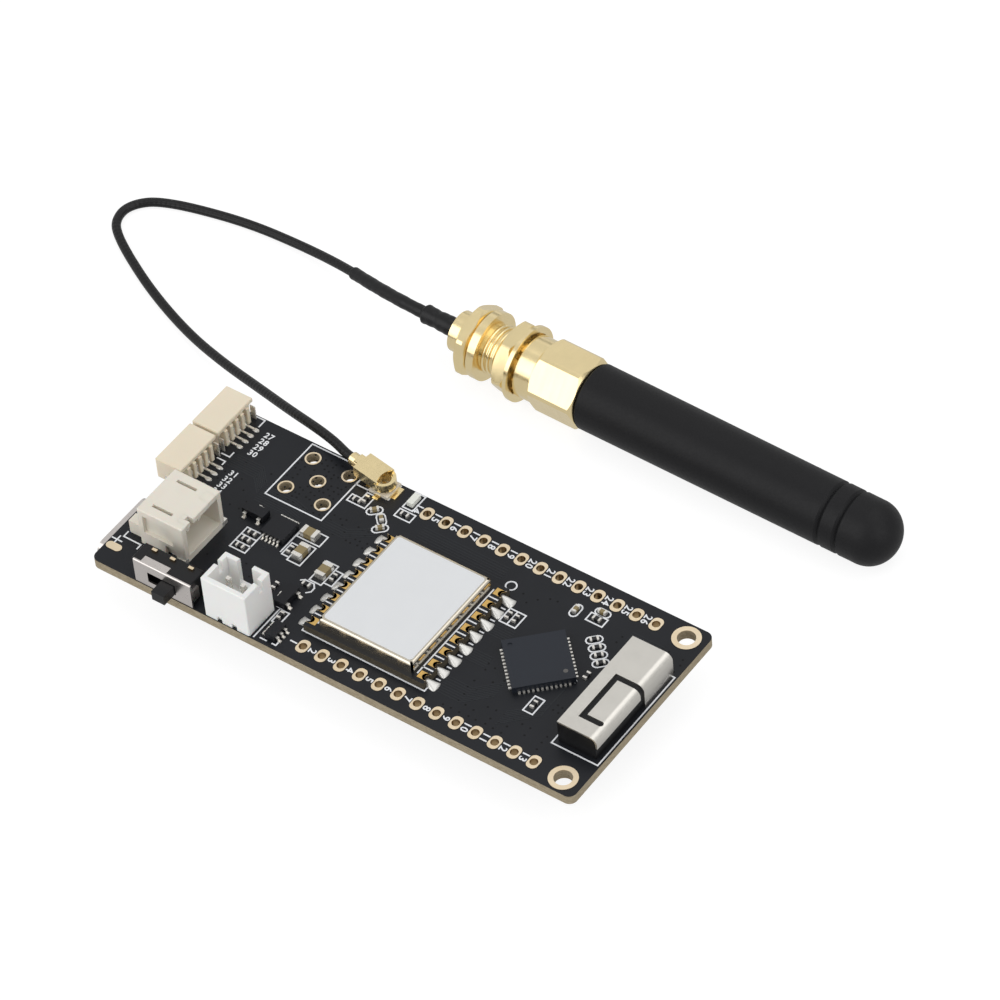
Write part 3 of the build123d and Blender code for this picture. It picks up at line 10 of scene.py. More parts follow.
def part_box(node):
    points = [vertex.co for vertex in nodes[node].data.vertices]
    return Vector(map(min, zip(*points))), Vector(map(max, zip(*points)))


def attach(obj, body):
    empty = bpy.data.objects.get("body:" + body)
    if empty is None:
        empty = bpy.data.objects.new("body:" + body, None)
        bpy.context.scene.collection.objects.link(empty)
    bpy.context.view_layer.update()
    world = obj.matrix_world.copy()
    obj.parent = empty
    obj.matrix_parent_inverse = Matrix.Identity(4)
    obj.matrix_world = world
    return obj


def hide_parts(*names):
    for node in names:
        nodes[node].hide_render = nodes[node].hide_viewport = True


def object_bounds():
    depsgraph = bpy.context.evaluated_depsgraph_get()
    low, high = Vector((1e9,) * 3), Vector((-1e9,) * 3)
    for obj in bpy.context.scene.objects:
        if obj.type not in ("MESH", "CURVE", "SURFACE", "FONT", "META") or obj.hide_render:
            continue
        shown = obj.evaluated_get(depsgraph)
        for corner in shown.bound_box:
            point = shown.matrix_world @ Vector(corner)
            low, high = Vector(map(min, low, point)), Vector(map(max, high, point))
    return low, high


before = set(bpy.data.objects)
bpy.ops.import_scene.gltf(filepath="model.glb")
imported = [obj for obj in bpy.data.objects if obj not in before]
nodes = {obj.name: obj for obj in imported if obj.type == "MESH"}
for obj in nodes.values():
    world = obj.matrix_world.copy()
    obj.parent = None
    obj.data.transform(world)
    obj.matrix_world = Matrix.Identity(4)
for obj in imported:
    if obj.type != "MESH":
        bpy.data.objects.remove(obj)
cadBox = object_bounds()
print("frame loaded:", len(nodes), "nodes")

mm = 0.001
boardLow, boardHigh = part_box("circuit_board")
firstHole = {"fromLeft": 27.65, "fromNear": 2.07}   # where the header rows start, in mm
pinX = boardLow[0] + firstHole["fromLeft"] * mm
pinY = boardLow[1] + firstHole["fromNear"] * mm
boardTop = boardHigh[2]


def at(x, y, z=0.0):
    # mm from the first header hole and the board's top face, to metres in the frame
    return Vector((pinX + x * mm, pinY + y * mm, boardTop + z * mm))


def centreOf(node):
    low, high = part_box(node)
    return (low + high) / 2


# Camera, fitted to the header holes: degrees, and mm from the first of them

view = {"azimuth": 39.462, "elevation": 47.022, "roll": 5.522, "lens": 203.86, "distance": 622.77,
        "aim": (5.5945, 28.8186, 0.0), "sensor": 36, "near": 10}


def makeCamera():
    az, el = math.radians(view["azimuth"]), math.radians(view["elevation"])
    look = Vector((-math.sin(az) * math.cos(el), math.cos(az) * math.cos(el), -math.sin(el)))
    camera = bpy.data.objects.new("camera", bpy.data.cameras.new("camera"))
    camera.location = at(*view["aim"]) - look * view["distance"] * mm
    camera.rotation_mode = "QUATERNION"
    level = look.to_track_quat("-Z", "Y")
    camera.rotation_quaternion = level @ Quaternion((0, 0, 1), -math.radians(view["roll"]))
    camera.data.lens = view["lens"]
    camera.data.sensor_width = view["sensor"]
    camera.data.clip_start = view["near"] * mm
    bpy.context.collection.objects.link(camera)
    bpy.context.scene.camera = camera


makeCamera()
print("camera placed")


# Node trees: a socket with operators, and a graph that adds nodes

class Sock:
    def __init__(self, graph, socket):
        self.graph, self.socket = graph, socket

    def maths(self, operation, *values):
        return self.graph.add("ShaderNodeMath", {"operation": operation}, dict(enumerate(values)))

    def __add__(self, other): return self.maths("ADD", self, other)
    def __sub__(self, other): return self.maths("SUBTRACT", self, other)
    def __rsub__(self, other): return self.maths("SUBTRACT", other, self)
    def __mul__(self, other): return self.maths("MULTIPLY", self, other)
    def __rmul__(self, other): return self.maths("MULTIPLY", other, self)
    def __gt__(self, other): return self.maths("GREATER_THAN", self, other)
    def __abs__(self): return self.maths("ABSOLUTE", self)
    def wave(self): return self.maths("SINE", self)


class Graph:
    def __init__(self, tree):
        self.tree = tree

    def add(self, kind, settings=None, values=None, out=0):
        node = self.tree.nodes.new(kind)
        for key, value in (settings or {}).items():
            if key == "stops":
                setStops(node.color_ramp, value)
            else:
                setattr(node, key, value)
        for key, value in (values or {}).items():
            self.feed(node.inputs[key], value)
        return Sock(self, node.outputs[out] if node.outputs else None)

    def feed(self, socket, value):
        if isinstance(value, Sock):
            self.tree.links.new(value.socket, socket)
        elif socket.type == "RGBA" and len(value) == 3:
            socket.default_value = (*value, 1)
        else:
            socket.default_value = value


def setStops(ramp, stops):
    while len(ramp.elements) < len(stops):
        ramp.elements.new(0.5)
    for element, (place, colour) in zip(ramp.elements, stops):
        element.position = place
        element.color = (*colour, 1)


class Finish(Graph):
    # one material: its graph, its shader and the patterns that most finishes share
    def __init__(self, name, **plain):
        self.material = bpy.data.materials.new(name)
        self.material.use_nodes = True
        super().__init__(self.material.node_tree)
        self.tree.nodes.clear()
        self.shader = self.tree.nodes.new("ShaderNodeBsdfPrincipled")
        output = self.tree.nodes.new("ShaderNodeOutputMaterial")
        self.tree.links.new(self.shader.outputs[0], output.inputs[0])
        self.set(plain)

    def set(self, values):
        for key, value in values.items():
            self.feed(self.shader.inputs[shaderInputs[key]], value)
        return self.material

    def noise(self, scale, detail=3.0, stretch=(1, 1, 1)):
        place = self.add("ShaderNodeTexCoord", out="Object")
        spot = self.add("ShaderNodeMapping", None, {"Vector": place, "Scale": stretch})
        return self.add("ShaderNodeTexNoise", None, {"Vector": spot, "Scale": scale, "Detail": detail})

    def mix(self, factor, first, second):
        return self.add("ShaderNodeMix", {"data_type": "RGBA"}, {0: factor, 6: first, 7: second}, 2)

    def bump(self, height, distance):
        return self.add("ShaderNodeBump", None, {"Height": height, "Distance": distance})

    def facing(self, axis):
        normal = self.add("ShaderNodeNewGeometry", out="Normal")
        return self.add("ShaderNodeSeparateXYZ", None, {0: normal}, axis)


shaderInputs = {"colour": "Base Color", "roughness": "Roughness", "metal": "Metallic",
                "level": "Specular IOR Level", "bump": "Normal", "sub": "Subsurface Weight",
                "subScale": "Subsurface Scale"}


def seen(red, green, blue):
    # a colour as it shows on screen, from 0 to 255, in the shader's linear values
    parts = [c / 255 for c in (red, green, blue)]
    return tuple(c / 12.92 if c <= 0.04045 else ((c + 0.055) / 1.055) ** 2.4 for c in parts)


def toned(colour, factor):
    return tuple(min(1.0, c * factor) for c in colour)


def moulded(name, colour, roughness=0.4, level=0.5, grain=4500.0, depth=3e-6, drift=0.06, **plain):
    # moulded plastic: a faint cloud in the colour, and a fine matt grain
    finish = Finish(name, level=level, **plain)
    tone = finish.mix(finish.noise(350.0), toned(colour, 1 - drift), toned(colour, 1 + drift))
    fine = finish.noise(grain, 2.0)
    return finish.set({"colour": tone, "roughness": fine * 0.16 + (roughness - 0.08),
                       "bump": finish.bump(fine, depth)})


def plated(name, colour, roughness=0.25, grain=2500.0, depth=1.5e-6, drift=0.07, stretch=(1, 1, 1),
           metal=1.0):
    # metal or plating: small changes of tone and gloss, and drawn or pitted grain
    finish = Finish(name, metal=metal)
    tone = finish.mix(finish.noise(420.0, 4.0), toned(colour, 1 - drift), toned(colour, 1 + drift))
    fine = finish.noise(grain, 3.0, stretch)
    return finish.set({"colour": tone, "roughness": fine * 0.2 + (roughness - 0.1),
                       "bump": finish.bump(fine, depth)})


# Finishes of the board, the cable and the pads; each scale is per metre and each depth in metres

board = {"mask": seen(21, 23, 27), "maskLight": seen(30, 32, 37), "edge": seen(186, 174, 150),
         "edgeDark": seen(112, 98, 74), "weave": 1700.0, "cloud": 260.0, "grain": 5200.0, "depth": 1.2e-5,
         "gloss": 0.33, "sawn": 0.8}
jacket = {"dark": seen(10, 10, 11), "light": seen(22, 22, 23), "wires": 8, "pitch": 5.2, "grain": 3000.0,
          "depth": 2.6e-5, "gloss": 0.24}
# the barrels' darker brown tones are painted shade, for the shadow inside the holes
pads = {"rims": (seen(238, 216, 180), seen(252, 236, 208)),
        "shadedBarrels": (seen(150, 122, 84), seen(190, 164, 122)), "cloud": 500.0, "grain": 2500.0,
        "depth": 2e-6, "gloss": 0.24}


def makeMask(name, shade):
    # solder mask on the flat faces, and sawn glass fibre at the edges
    finish = Finish(name, level=0.26)
    flat = abs(finish.facing(2)) > 0.5
    cloud = finish.noise(board["cloud"], 4.0)
    mask = finish.mix(cloud, board["mask"], board["maskLight"])
    fibres = finish.noise(board["weave"], 4.0, (1, 1, 5))
    edge = finish.mix(fibres, toned(board["edgeDark"], shade), toned(board["edge"], shade))
    fine = finish.noise(board["grain"], 2.0)
    rough = finish.add("ShaderNodeMix", {"data_type": "FLOAT"},
                       {0: flat, 2: board["sawn"], 3: fine * 0.1 + board["gloss"]})
    height = fine * 0.15 * flat + fibres * (1 - flat)
    return finish.set({"colour": finish.mix(flat, edge, mask), "roughness": rough,
                       "bump": finish.bump(height, board["depth"])})


def makeCable():
    # thin jacket that shows the crossed wires of the braid below it
    finish = Finish("cable_jacket", level=0.3)
    place = finish.add("ShaderNodeTexCoord", out="UV")
    along = finish.add("ShaderNodeSeparateXYZ", None, {0: place}, 0)
    around = finish.add("ShaderNodeSeparateXYZ", None, {0: place}, 1)
    turns, pitch = jacket["wires"] * 2 * math.pi, jacket["pitch"]
    braid = (along * pitch + around * turns).wave() * (along * pitch - around * turns).wave()
    fine = finish.noise(jacket["grain"])
    tone = finish.mix(fine, jacket["dark"], jacket["light"])
    return finish.set({"colour": tone, "roughness": fine * 0.2 + jacket["gloss"],
                       "bump": finish.bump(braid * 0.7 + fine * 0.3, jacket["depth"])})


def makePadGold():
    # gold on the flat rims, and a darker brown painted into the barrels of the holes as painted shade for the
    # shadow inside them
    finish = Finish("pad_gold", metal=1.0)
    flat = abs(finish.facing(2)) > 0.5
    cloud = finish.noise(pads["cloud"], 4.0)
    rim, shadedBarrel = finish.mix(cloud, *pads["rims"]), finish.mix(cloud, *pads["shadedBarrels"])
    fine = finish.noise(pads["grain"])
    # upright faces take the darker brown of painted shade, flat faces the gold
    return finish.set({"colour": finish.mix(flat, shadedBarrel, rim), "roughness": fine * 0.2 + pads["gloss"],
                       "bump": finish.bump(fine, pads["depth"])})


finishes = {
    "mask": makeMask("solder_mask", 1.0),
    "carrierMask": makeMask("module_mask", 0.2),
    "cable": makeCable(),
    "padGold": makePadGold(),
    "landGold": plated("land_gold", seen(226, 188, 116), 0.3, drift=0.12),
    "gold": plated("turned_gold", seen(249, 228, 177), 0.22, grain=1800.0, stretch=(1, 0.05, 0.05)),
    "goldSheet": plated("gold_sheet", seen(246, 226, 176), 0.28),
    "solder": plated("solder", seen(222, 221, 217), 0.3, grain=900.0, depth=8e-6, metal=0.45),
    "tin": plated("tinned", seen(236, 233, 226), 0.28, metal=0.7),
    "can": plated("shield_tin", seen(214, 206, 190), 0.22, grain=600.0, depth=4e-6, drift=0.12),
    "nickel": plated("satin_nickel", seen(216, 213, 206), 0.34, grain=3800.0),
    "steel": plated("pressed_steel", seen(214, 208, 204), 0.3),
    "label": moulded("label_film", seen(226, 228, 230), 0.38, drift=0.02),
    "chip": moulded("chip_epoxy", seen(26, 27, 31), 0.5, 0.25, drift=0.12, depth=5e-6),
    "processor": moulded("processor_epoxy", seen(34, 38, 46), 0.42, 0.3, drift=0.1, depth=4e-6),
    "carrier": moulded("antenna_carrier", seen(16, 16, 18), 0.45, 0.25),
    "beige": moulded("beige_nylon", seen(230, 224, 211), 0.42, drift=0.03, sub=0.1, subScale=0.001),
    "cream": moulded("cream_nylon", seen(234, 222, 199), 0.42, drift=0.03, sub=0.1, subScale=0.001),
    "white": moulded("white_nylon", seen(238, 238, 236), 0.36, drift=0.02, sub=0.1, subScale=0.001),
    "ink": moulded("printed_ink", seen(236, 238, 241), 0.6, 0.3, drift=0.03),
    "trace": moulded("masked_trace", seen(31, 34, 38), 0.34, 0.3, drift=0.05),
    "chipMark": moulded("chip_mark", seen(96, 94, 92), 0.5, 0.3),
    "tented": moulded("tented_hole", seen(9, 9, 11), 0.5, 0.2),
    "black": moulded("black_nylon", seen(22, 22, 24), 0.4, 0.3),
    "ceramic": moulded("capacitor_ceramic", seen(142, 126, 88), 0.35, drift=0.1),
    "resistor": moulded("resistor_film", seen(26, 26, 28), 0.25),
    "lens": moulded("lamp_lens", seen(232, 234, 226), 0.25, drift=0.03),
    "socket": moulded("socket_white", seen(226, 218, 202), 0.4),
    "ptfe": moulded("ptfe", seen(238, 238, 236), 0.35),
    "copper": plated("copper", seen(214, 142, 104), 0.3),
    "glass": moulded("display_glass", seen(10, 11, 14), 0.1, grain=900.0, depth=2e-7),
    "frame": moulded("display_frame", seen(22, 22, 24), 0.5),
    "ribbon": moulded("ribbon_film", seen(150, 96, 34), 0.3, drift=0.1),
    "rubber": moulded("antenna_rubber", seen(21, 21, 23), 0.5, 0.22, grain=2600.0, depth=1.6e-5,
                      drift=0.1),
    "sleeve": moulded("shrunk_sleeve", seen(18, 18, 20), 0.4, 0.3, grain=1800.0, depth=8e-6),
}

nodeFinish = {
    "mask": ["circuit_board"],
    "carrierMask": ["radio_carrier"],
    "padGold": ["header_pads", "fixing_pads", "jack_pads", "battery_pad", "radio_lands",
                "switch_terminals"],
    "gold": ["jack_body", "jack_contact", "panel_nut", "star_washer", "coupling_nut"],
    "goldSheet": ["coax_plug", "coax_socket_ring"],
    "solder": ["radio_pads"],
    "tin": ["processor_leads", "chip_terminals", "transistor_leads", "chip_leads", "battery_pins",
            "upright_pins", "side_connector_pins"],
    "can": ["radio_shield"],
    "nickel": ["chip_antenna_plate"],
    "steel": ["switch_cover", "usb_shell", "card_socket", "reset_case"],
    "label": ["radio_label"],
    "chip": ["radio_chip", "transistors", "regulator", "charger", "usb_bridge", "radio_crystal"],
    "processor": ["processor"],
    "carrier": ["chip_antenna_block"],
    "beige": ["battery_connector"],
    "cream": ["side_connector_middle", "side_connector_far"],
    "white": ["upright_connector"],
    "black": ["switch_body", "switch_knob", "usb_tongue", "reset_cap"],
    "ceramic": ["capacitors"],
    "resistor": ["resistors"],
    "lens": ["status_led"],
    "socket": ["coax_socket_base"],
    "ptfe": ["jack_insulator"],
    "copper": ["antenna_radiator"],
    "glass": ["display_panel"],
    "frame": ["display_frame"],
    "ribbon": ["display_ribbon"],
    "rubber": ["antenna_sheath"],
    "cable": ["coax_cable"],
    "sleeve": ["jack_sleeve", "thin_sleeve"],
}


def dressNodes():
    for finish, members in nodeFinish.items():
        for name in members:
            slots = nodes[name].data.materials
            slots.clear()
            slots.append(finishes[finish])
    bare = set(nodes) - {name for members in nodeFinish.values() for name in members}
    print("CAD nodes dressed, left bare:", sorted(bare))


dressNodes()


# Pieces

def addPiece(name, mesh, finish, smooth=False):
    piece = bpy.data.objects.new(name, mesh)
    bpy.context.collection.objects.link(piece)
    mesh.materials.clear()
    mesh.materials.append(finishes[finish])
    for face in mesh.polygons:
        face.use_smooth = smooth
        face.material_index = 0
    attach(piece, "board")
    return piece


def meshOf(name, points, faces):
    mesh = bpy.data.meshes.new(name)
    mesh.from_pydata([tuple(p) for p in points], [], faces)
    mesh.update()
    return mesh


# Coaxial lead: the route's points in mm, repeated from the CAD source; it leaves the plug at its mouth

lead = {
    "mouth": (-11.08, 24.30, 1.42), "start": (-12.07, 24.46, 1.42),
    "route": [(-14.2, 25.3, 1.3), (-17.3, 26.15, 1.0), (-22.55, 27.72, -0.3), (-28.85, 30.06, -2.3),
              (-35.9, 32.48, -4.3), (-43.3, 35.1, -5.7), (-50.95, 38.25, -5.87), (-57.6, 41.82, -5.87),
              (-61.3, 44.3, -5.87), (-62.4, 45.9, -5.87), (-62.6, 47.8, -5.87), (-61.6, 49.5, -5.87),
              (-59.9, 50.75, -5.87), (-55.95, 52.05, -5.87), (-48.55, 53.45, -5.87), (-40.95, 53.6, -5.7),
              (-33.9, 52.5, -4.5), (-27.25, 50.58, -3.0)],
    "tail": 6.0, "radius": 0.56, "length": 109.5, "sides": 20, "smoothness": 12,
}
jack = {"nutMiddle": -10.15, "end": -18.4}   # mm along the antenna from the rod's first face
nutCentre = centreOf("panel_nut")
axis = (centreOf("antenna_radiator") - nutCentre).normalized()


def onAxis(distance):
    return nutCentre + axis * (distance - jack["nutMiddle"]) * mm


def routeLine():
    # the NURBS line through the route, as points close together
    points = [at(*lead["mouth"]), at(*lead["start"])] + [at(*p) for p in lead["route"]]
    points += [onAxis(jack["end"] - lead["tail"]), onAxis(jack["end"])]
    curve = bpy.data.curves.new("route", "CURVE")
    curve.dimensions = "3D"
    spline = curve.splines.new("NURBS")
    spline.points.add(len(points) - 1)
    for spot, point in zip(spline.points, points):
        spot.co = (*point, 1)
    spline.order_u = 3
    spline.use_endpoint_u = True
    spline.resolution_u = lead["smoothness"]
    holder = bpy.data.objects.new("route", curve)
    bpy.context.collection.objects.link(holder)
    line = bpy.data.meshes.new_from_object(holder.evaluated_get(bpy.context.evaluated_depsgraph_get()))
    path = [v.co.copy() for v in line.vertices]
    bpy.data.objects.remove(holder)
    bpy.data.meshes.remove(line)
    return path


def lengthsAlong(path):
    steps = [0.0]
    for before, after in zip(path, path[1:]):
        steps.append(steps[-1] + (after - before).length)
    return steps


def pathBetween(path, start, end, step):
    # evenly spaced points of a stretch of the path, by distance along it in metres
    marks = lengthsAlong(path)
    count = max(2, round((end - start) / step))
    wanted = [start + (end - start) * i / count for i in range(count + 1)]
    flat = np.array([tuple(p) for p in path])
    return [Vector(np.interp(d, marks, flat[:, k]) for k in range(3)) for d in wanted]


def tubeAlong(name, path, radii, sides, finish):
    # a closed tube with a UV map: U is mm along it and V is the turn round it
    points, faces, spots = [], [], []
    side = Vector((0, 0, 1))
    marks = lengthsAlong(path)
    for i, (point, radius) in enumerate(zip(path, radii)):
        ahead = (path[min(i + 1, len(path) - 1)] - path[max(i - 1, 0)]).normalized()
        side = (side - ahead * side.dot(ahead)).normalized()
        other = ahead.cross(side)
        for k in range(sides):
            turn = 2 * math.pi * k / sides
            points.append(point + (side * math.cos(turn) + other * math.sin(turn)) * radius)
    for i in range(len(path) - 1):
        for k in range(sides):
            after = (k + 1) % sides
            faces.append((i * sides + k, i * sides + after, (i + 1) * sides + after, (i + 1) * sides + k))
            low, high = marks[i] / mm, marks[i + 1] / mm
            spots += [(low, k / sides), (low, (k + 1) / sides), (high, (k + 1) / sides), (high, k / sides)]
    for first, turned in ((0, True), ((len(path) - 1) * sides, False)):
        cap = [first + k for k in range(sides)]
        faces.append(cap[::-1] if turned else cap)
        spots += [(marks[0] / mm, 0)] * sides
    mesh = meshOf(name, points, faces)
    layer = mesh.uv_layers.new(name="UVMap")
    for loop, spot in zip(layer.data, spots):
        loop.uv = spot
    return addPiece(name, mesh, finish, smooth=True)


def makeLead():
    path = routeLine()
    total = lengthsAlong(path)[-1]
    tube = tubeAlong("coax_lead", path, [lead["radius"] * mm] * len(path), lead["sides"],
                     "cable")
    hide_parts("coax_cable")
    return path, total, tube


sleeves = {
    "wide": {"radius": 1.12, "from": 0.02, "to": 5.2, "mouth": 0.45, "open": 0.45, "lip": 0.78,
             "wave": 0.045},
    "thin": {"radius": 0.76, "from": 5.0, "to": 18.2, "mouth": 0.35, "open": 0, "lip": 0.6,
             "wave": 0.015},
    "step": 0.12, "sides": 24, "lumps": [(2.1, 0.6, 1.0), (5.3, 0.0, 0.6)],
}


def makeSleeve(name, given, path, total, replaced):
    # shrunk tube: full in its middle, drawn in at its mouths unless one is open, with small lumps
    start, end = total - given["to"] * mm, total - given["from"] * mm
    points = pathBetween(path, start, end, sleeves["step"] * mm)
    radii = []
    for i in range(len(points)):
        done = (given["to"] - given["from"]) * i / (len(points) - 1)
        left = given["to"] - given["from"] - done
        full = min(1.0, min(done, left + given["open"]) / given["mouth"])
        ease = math.sin(full * math.pi / 2)
        lump = sum(share * math.sin(done * rate + shift) for rate, shift, share in sleeves["lumps"])
        radii.append((given["lip"] + (given["radius"] - given["lip"] + given["wave"] * lump) * ease) * mm)
    piece = tubeAlong(name, points, radii, sleeves["sides"], "sleeve")
    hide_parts(replaced)
    return piece


leadPath, leadTotal, leadTube = makeLead()
wideSleeve = makeSleeve("wide_sleeve", sleeves["wide"], leadPath, leadTotal, "jack_sleeve")
thinSleeve = makeSleeve("long_sleeve", sleeves["thin"], leadPath, leadTotal, "thin_sleeve")
at(*lead["mouth"])
print("lead made, mm:", round(leadTotal / mm, 2))


# Geometry Nodes: a tree with named inputs that ends in real faces and a finish

class Shape(Graph):
    def __init__(self, name, **sockets):
        super().__init__(bpy.data.node_groups.new(name, "GeometryNodeTree"))
        self.keys = {}
        self.tree.interface.new_socket("Geometry", in_out="INPUT", socket_type="NodeSocketGeometry")
        for label, kind in sockets.items():
            socket = self.tree.interface.new_socket(label, in_out="INPUT", socket_type="NodeSocket" + kind)
            self.keys[label] = socket.identifier
        self.tree.interface.new_socket("Geometry", in_out="OUTPUT", socket_type="NodeSocketGeometry")
        self.entry = self.tree.nodes.new("NodeGroupInput")

    def given(self, label):
        return Sock(self, self.entry.outputs[label])

    def close(self, made, finish):
        real = self.add("GeometryNodeRealizeInstances", None, {0: made})
        dressed = self.add("GeometryNodeSetMaterial", None, {"Geometry": real, "Material": finishes[finish]})
        end = self.tree.nodes.new("NodeGroupOutput")
        self.tree.links.new(dressed.socket, end.inputs[0])
        return self


def grown(name, shape, base, **values):
    # the tree's result on a base mesh, as a plain mesh that faces outwards
    holder = bpy.data.objects.new(name, base)
    bpy.context.collection.objects.link(holder)
    modifier = holder.modifiers.new("shape", "NODES")
    modifier.node_group = shape.tree
    for label, value in values.items():
        modifier[shape.keys[label]] = value
    mesh = bpy.data.meshes.new_from_object(holder.evaluated_get(bpy.context.evaluated_depsgraph_get()))
    holder.modifiers.remove(modifier)
    bpy.data.objects.remove(holder)
    return joined(name, [mesh])


def joined(name, meshes):
    # several meshes as one, with every face turned outwards
    whole = bmesh.new()
    for mesh in meshes:
        whole.from_mesh(mesh)
    bmesh.ops.recalc_face_normals(whole, faces=whole.faces)
    result = bpy.data.meshes.new(name)
    whole.to_mesh(result)
    whole.free()
    return result


def makeStrokeTree(name, finish):
    # every edge of the base mesh becomes a flat bar
    shape = Shape(name, Width="Float", Height="Float")
    path = shape.add("GeometryNodeMeshToCurve", None, {"Mesh": shape.given("Geometry")})
    section = shape.add("GeometryNodeCurvePrimitiveQuadrilateral", {"mode": "RECTANGLE"},
                        {"Width": shape.given("Width"), "Height": shape.given("Height")})
    return shape.close(shape.add("GeometryNodeCurveToMesh", None, {"Curve": path, "Profile Curve": section,
                                                                   "Fill Caps": True}), finish)


def makeRowTree(name, finish):
    # copies of the base mesh in a row, each a little different in size
    shape = Shape(name, Count="Int", First="Vector", Step="Vector", Least="Vector", Seed="Int")
    line = shape.add("GeometryNodeMeshLine", {"mode": "OFFSET"},
                     {"Count": shape.given("Count"), "Start Location": shape.given("First"),
                      "Offset": shape.given("Step")})
    size = shape.add("FunctionNodeRandomValue", {"data_type": "FLOAT_VECTOR"},
                     {0: shape.given("Least"), 1: (1, 1, 1), 8: shape.given("Seed")})
    return shape.close(shape.add("GeometryNodeInstanceOnPoints", None,
                                 {"Points": line, "Instance": shape.given("Geometry"), "Scale": size}),
                       finish)


def makeDotTree(name, finish):
    # a thin disc on every point of the base mesh
    shape = Shape(name, Radius="Float", Height="Float", Sides="Int")
    disc = shape.add("GeometryNodeMeshCylinder", None,
                     {"Vertices": shape.given("Sides"), "Radius": shape.given("Radius"),
                      "Depth": shape.given("Height")})
    return shape.close(shape.add("GeometryNodeInstanceOnPoints", None,
                                 {"Points": shape.given("Geometry"), "Instance": disc}), finish)


def makeThreadTree(name, finish):
    # a ridge with a pointed section, wound along Z
    steps, corners = 36, 6
    shape = Shape(name, Turns="Float", Radius="Float", Length="Float", Ridge="Float")
    line = shape.add("GeometryNodeCurveSpiral", None,
                     {"Resolution": steps, "Rotations": shape.given("Turns"),
                      "Start Radius": shape.given("Radius"), "End Radius": shape.given("Radius"),
                      "Height": shape.given("Length")})
    section = shape.add("GeometryNodeCurvePrimitiveCircle", None,
                        {"Resolution": corners, "Radius": shape.given("Ridge")})
    return shape.close(shape.add("GeometryNodeCurveToMesh", None, {"Curve": line, "Profile Curve": section,
                                                                   "Fill Caps": True}), finish)


# Printed lines and numerals; places are mm from the first header hole

marks = {
    "width": 0.17, "height": 0.03, "lift": 0.01, "carrierTop": 0.95, "shy": 0.01, "levels": 7,
    "level": 0.0015,
    "boxes": [(-17.1, 15.85, -9.35, 24.65), (30.5, 3.2, 36.45, 17.65), (-3.0, 20.75, -0.9, 21.95),
              (-15.7, 7.5, -13.6, 10.75), (-10.3, 12.6, -7.2, 14.25), (-9.1, 9.2, -7.35, 12.2),
              (-5.25, 8.15, -3.65, 11.35), (-5.1, 1.15, -4.1, 3.0), (15.8, 14.3, 17.9, 16.4),
              (25.3, 5.3, 26.55, 7.6), (23.6, 19.4, 25.75, 20.6), (-2.95, 22.3, -1.6, 24.8)],
    "lines": [[(-15.7, 8.55), (-13.6, 8.55)], [(-15.7, 9.65), (-13.6, 9.65)], [(16.8, 14.3), (16.8, 16.4)],
              [(-9.3, 9.6), (-10.1, 9.6), (-10.1, 11.5), (-9.3, 11.5)],
              [(-3.5, 8.6), (-2.55, 8.6), (-2.55, 10.75), (-3.5, 10.75)],
              [(-8.8, 19.85), (-6.35, 19.85), (-6.35, 21.95), (-7.5, 21.95), (-7.5, 20.9), (-8.8, 20.9),
               (-8.8, 19.85)],
              [(-9.3, 24.7), (-9.3, 22.3), (-7.7, 22.3)], [(-6.7, 22.3), (-4.9, 22.3), (-4.9, 24.7)],
              [(-1.5, 1.85), (14.85, 1.85)], [(-1.5, 1.85), (-1.5, 2.4)], [(14.85, 1.85), (14.85, 2.4)],
              [(-5.4, -1.7), (-5.4, 3.0)], [(-5.9, 3.15), (-5.2, 3.15)], [(-10.4, 9.8), (-10.4, 13.4)],
              [(-26.5, 3.2), (-26.5, 2.4), (-24.1, 2.4), (-24.1, 1.7)],
              [(-27.5, 1.65), (-26.2, 1.65)], [(-26.85, 1.05), (-26.85, 2.25)],
              [(-24.9, 24.72), (-23.8, 24.72), (-23.8, 23.6)],
              [(-24.9, 18.15), (-23.8, 18.15), (-23.8, 18.9)],
              [(-24.9, 17.35), (-23.8, 17.35), (-23.8, 16.8)],
              [(-6.0, 7.6), (-5.6, 7.9), (-4.4, 7.9), (-4.0, 7.4), (-4.0, 6.8), (-4.4, 6.4)],
              [(-3.1, -1.45), (-2.6, -1.45), (-2.6, -1.05)], [(-4.7, -1.45), (-3.9, -1.45)]],
    "ovals": [(-5.2, 20.15, 45), (-3.8, 19.5, -45), (-3.1, 18.3, 45), (22.0, 19.9, 90), (24.7, 21.15, 0),
              (26.1, 17.5, 45), (27.0, 16.7, 45), (27.8, 15.9, 45), (28.6, 15.1, 45)],
    "oval": {"length": 1.85, "width": 0.98, "steps": 6},
    "rings": [(14.0, 19.1, 0.62, 20), (27.65, 11.55, 0.2, 10)],
    "teeth": {"first": 3.95, "pitch": 2.0, "count": 7, "left": (-1.2, -0.05), "right": (13.25, 14.5),
              "dash": (14.95, 15.4)},
}


def capsule(x, y, turn):
    # outline of a small part: two straight sides and two round ends
    size, points = marks["oval"], []
    radius, half = size["width"] / 2, (size["length"] - size["width"]) / 2
    for end in (1, -1):
        for i in range(size["steps"] + 1):
            angle = math.pi * (i / size["steps"] - 0.5) + (0 if end == 1 else math.pi)
            points.append((end * half + radius * math.cos(angle), radius * math.sin(angle)))
    cos, sin = math.cos(math.radians(turn)), math.sin(math.radians(turn))
    points = [(x + u * cos - v * sin, y + u * sin + v * cos) for u, v in points]
    return points + points[:1]


def strokeMesh(name, lines, height, reach):
    # each straight stretch is an edge of its own, lengthened to fill the corners, and
    # a hair higher or lower than the next, so that no two top faces share a plane
    points, edges = [], []
    for line in lines:
        for start, end in zip(line, line[1:]):
            lift = height + len(edges) % marks["levels"] * marks["level"]
            first, last = at(*start, lift), at(*end, lift)
            past = (last - first).normalized() * reach * mm
            points += [first - past, last + past]
            edges.append((len(points) - 2, len(points) - 1))
    mesh = bpy.data.meshes.new(name)
    mesh.from_pydata([tuple(p) for p in points], edges, [])
    return mesh


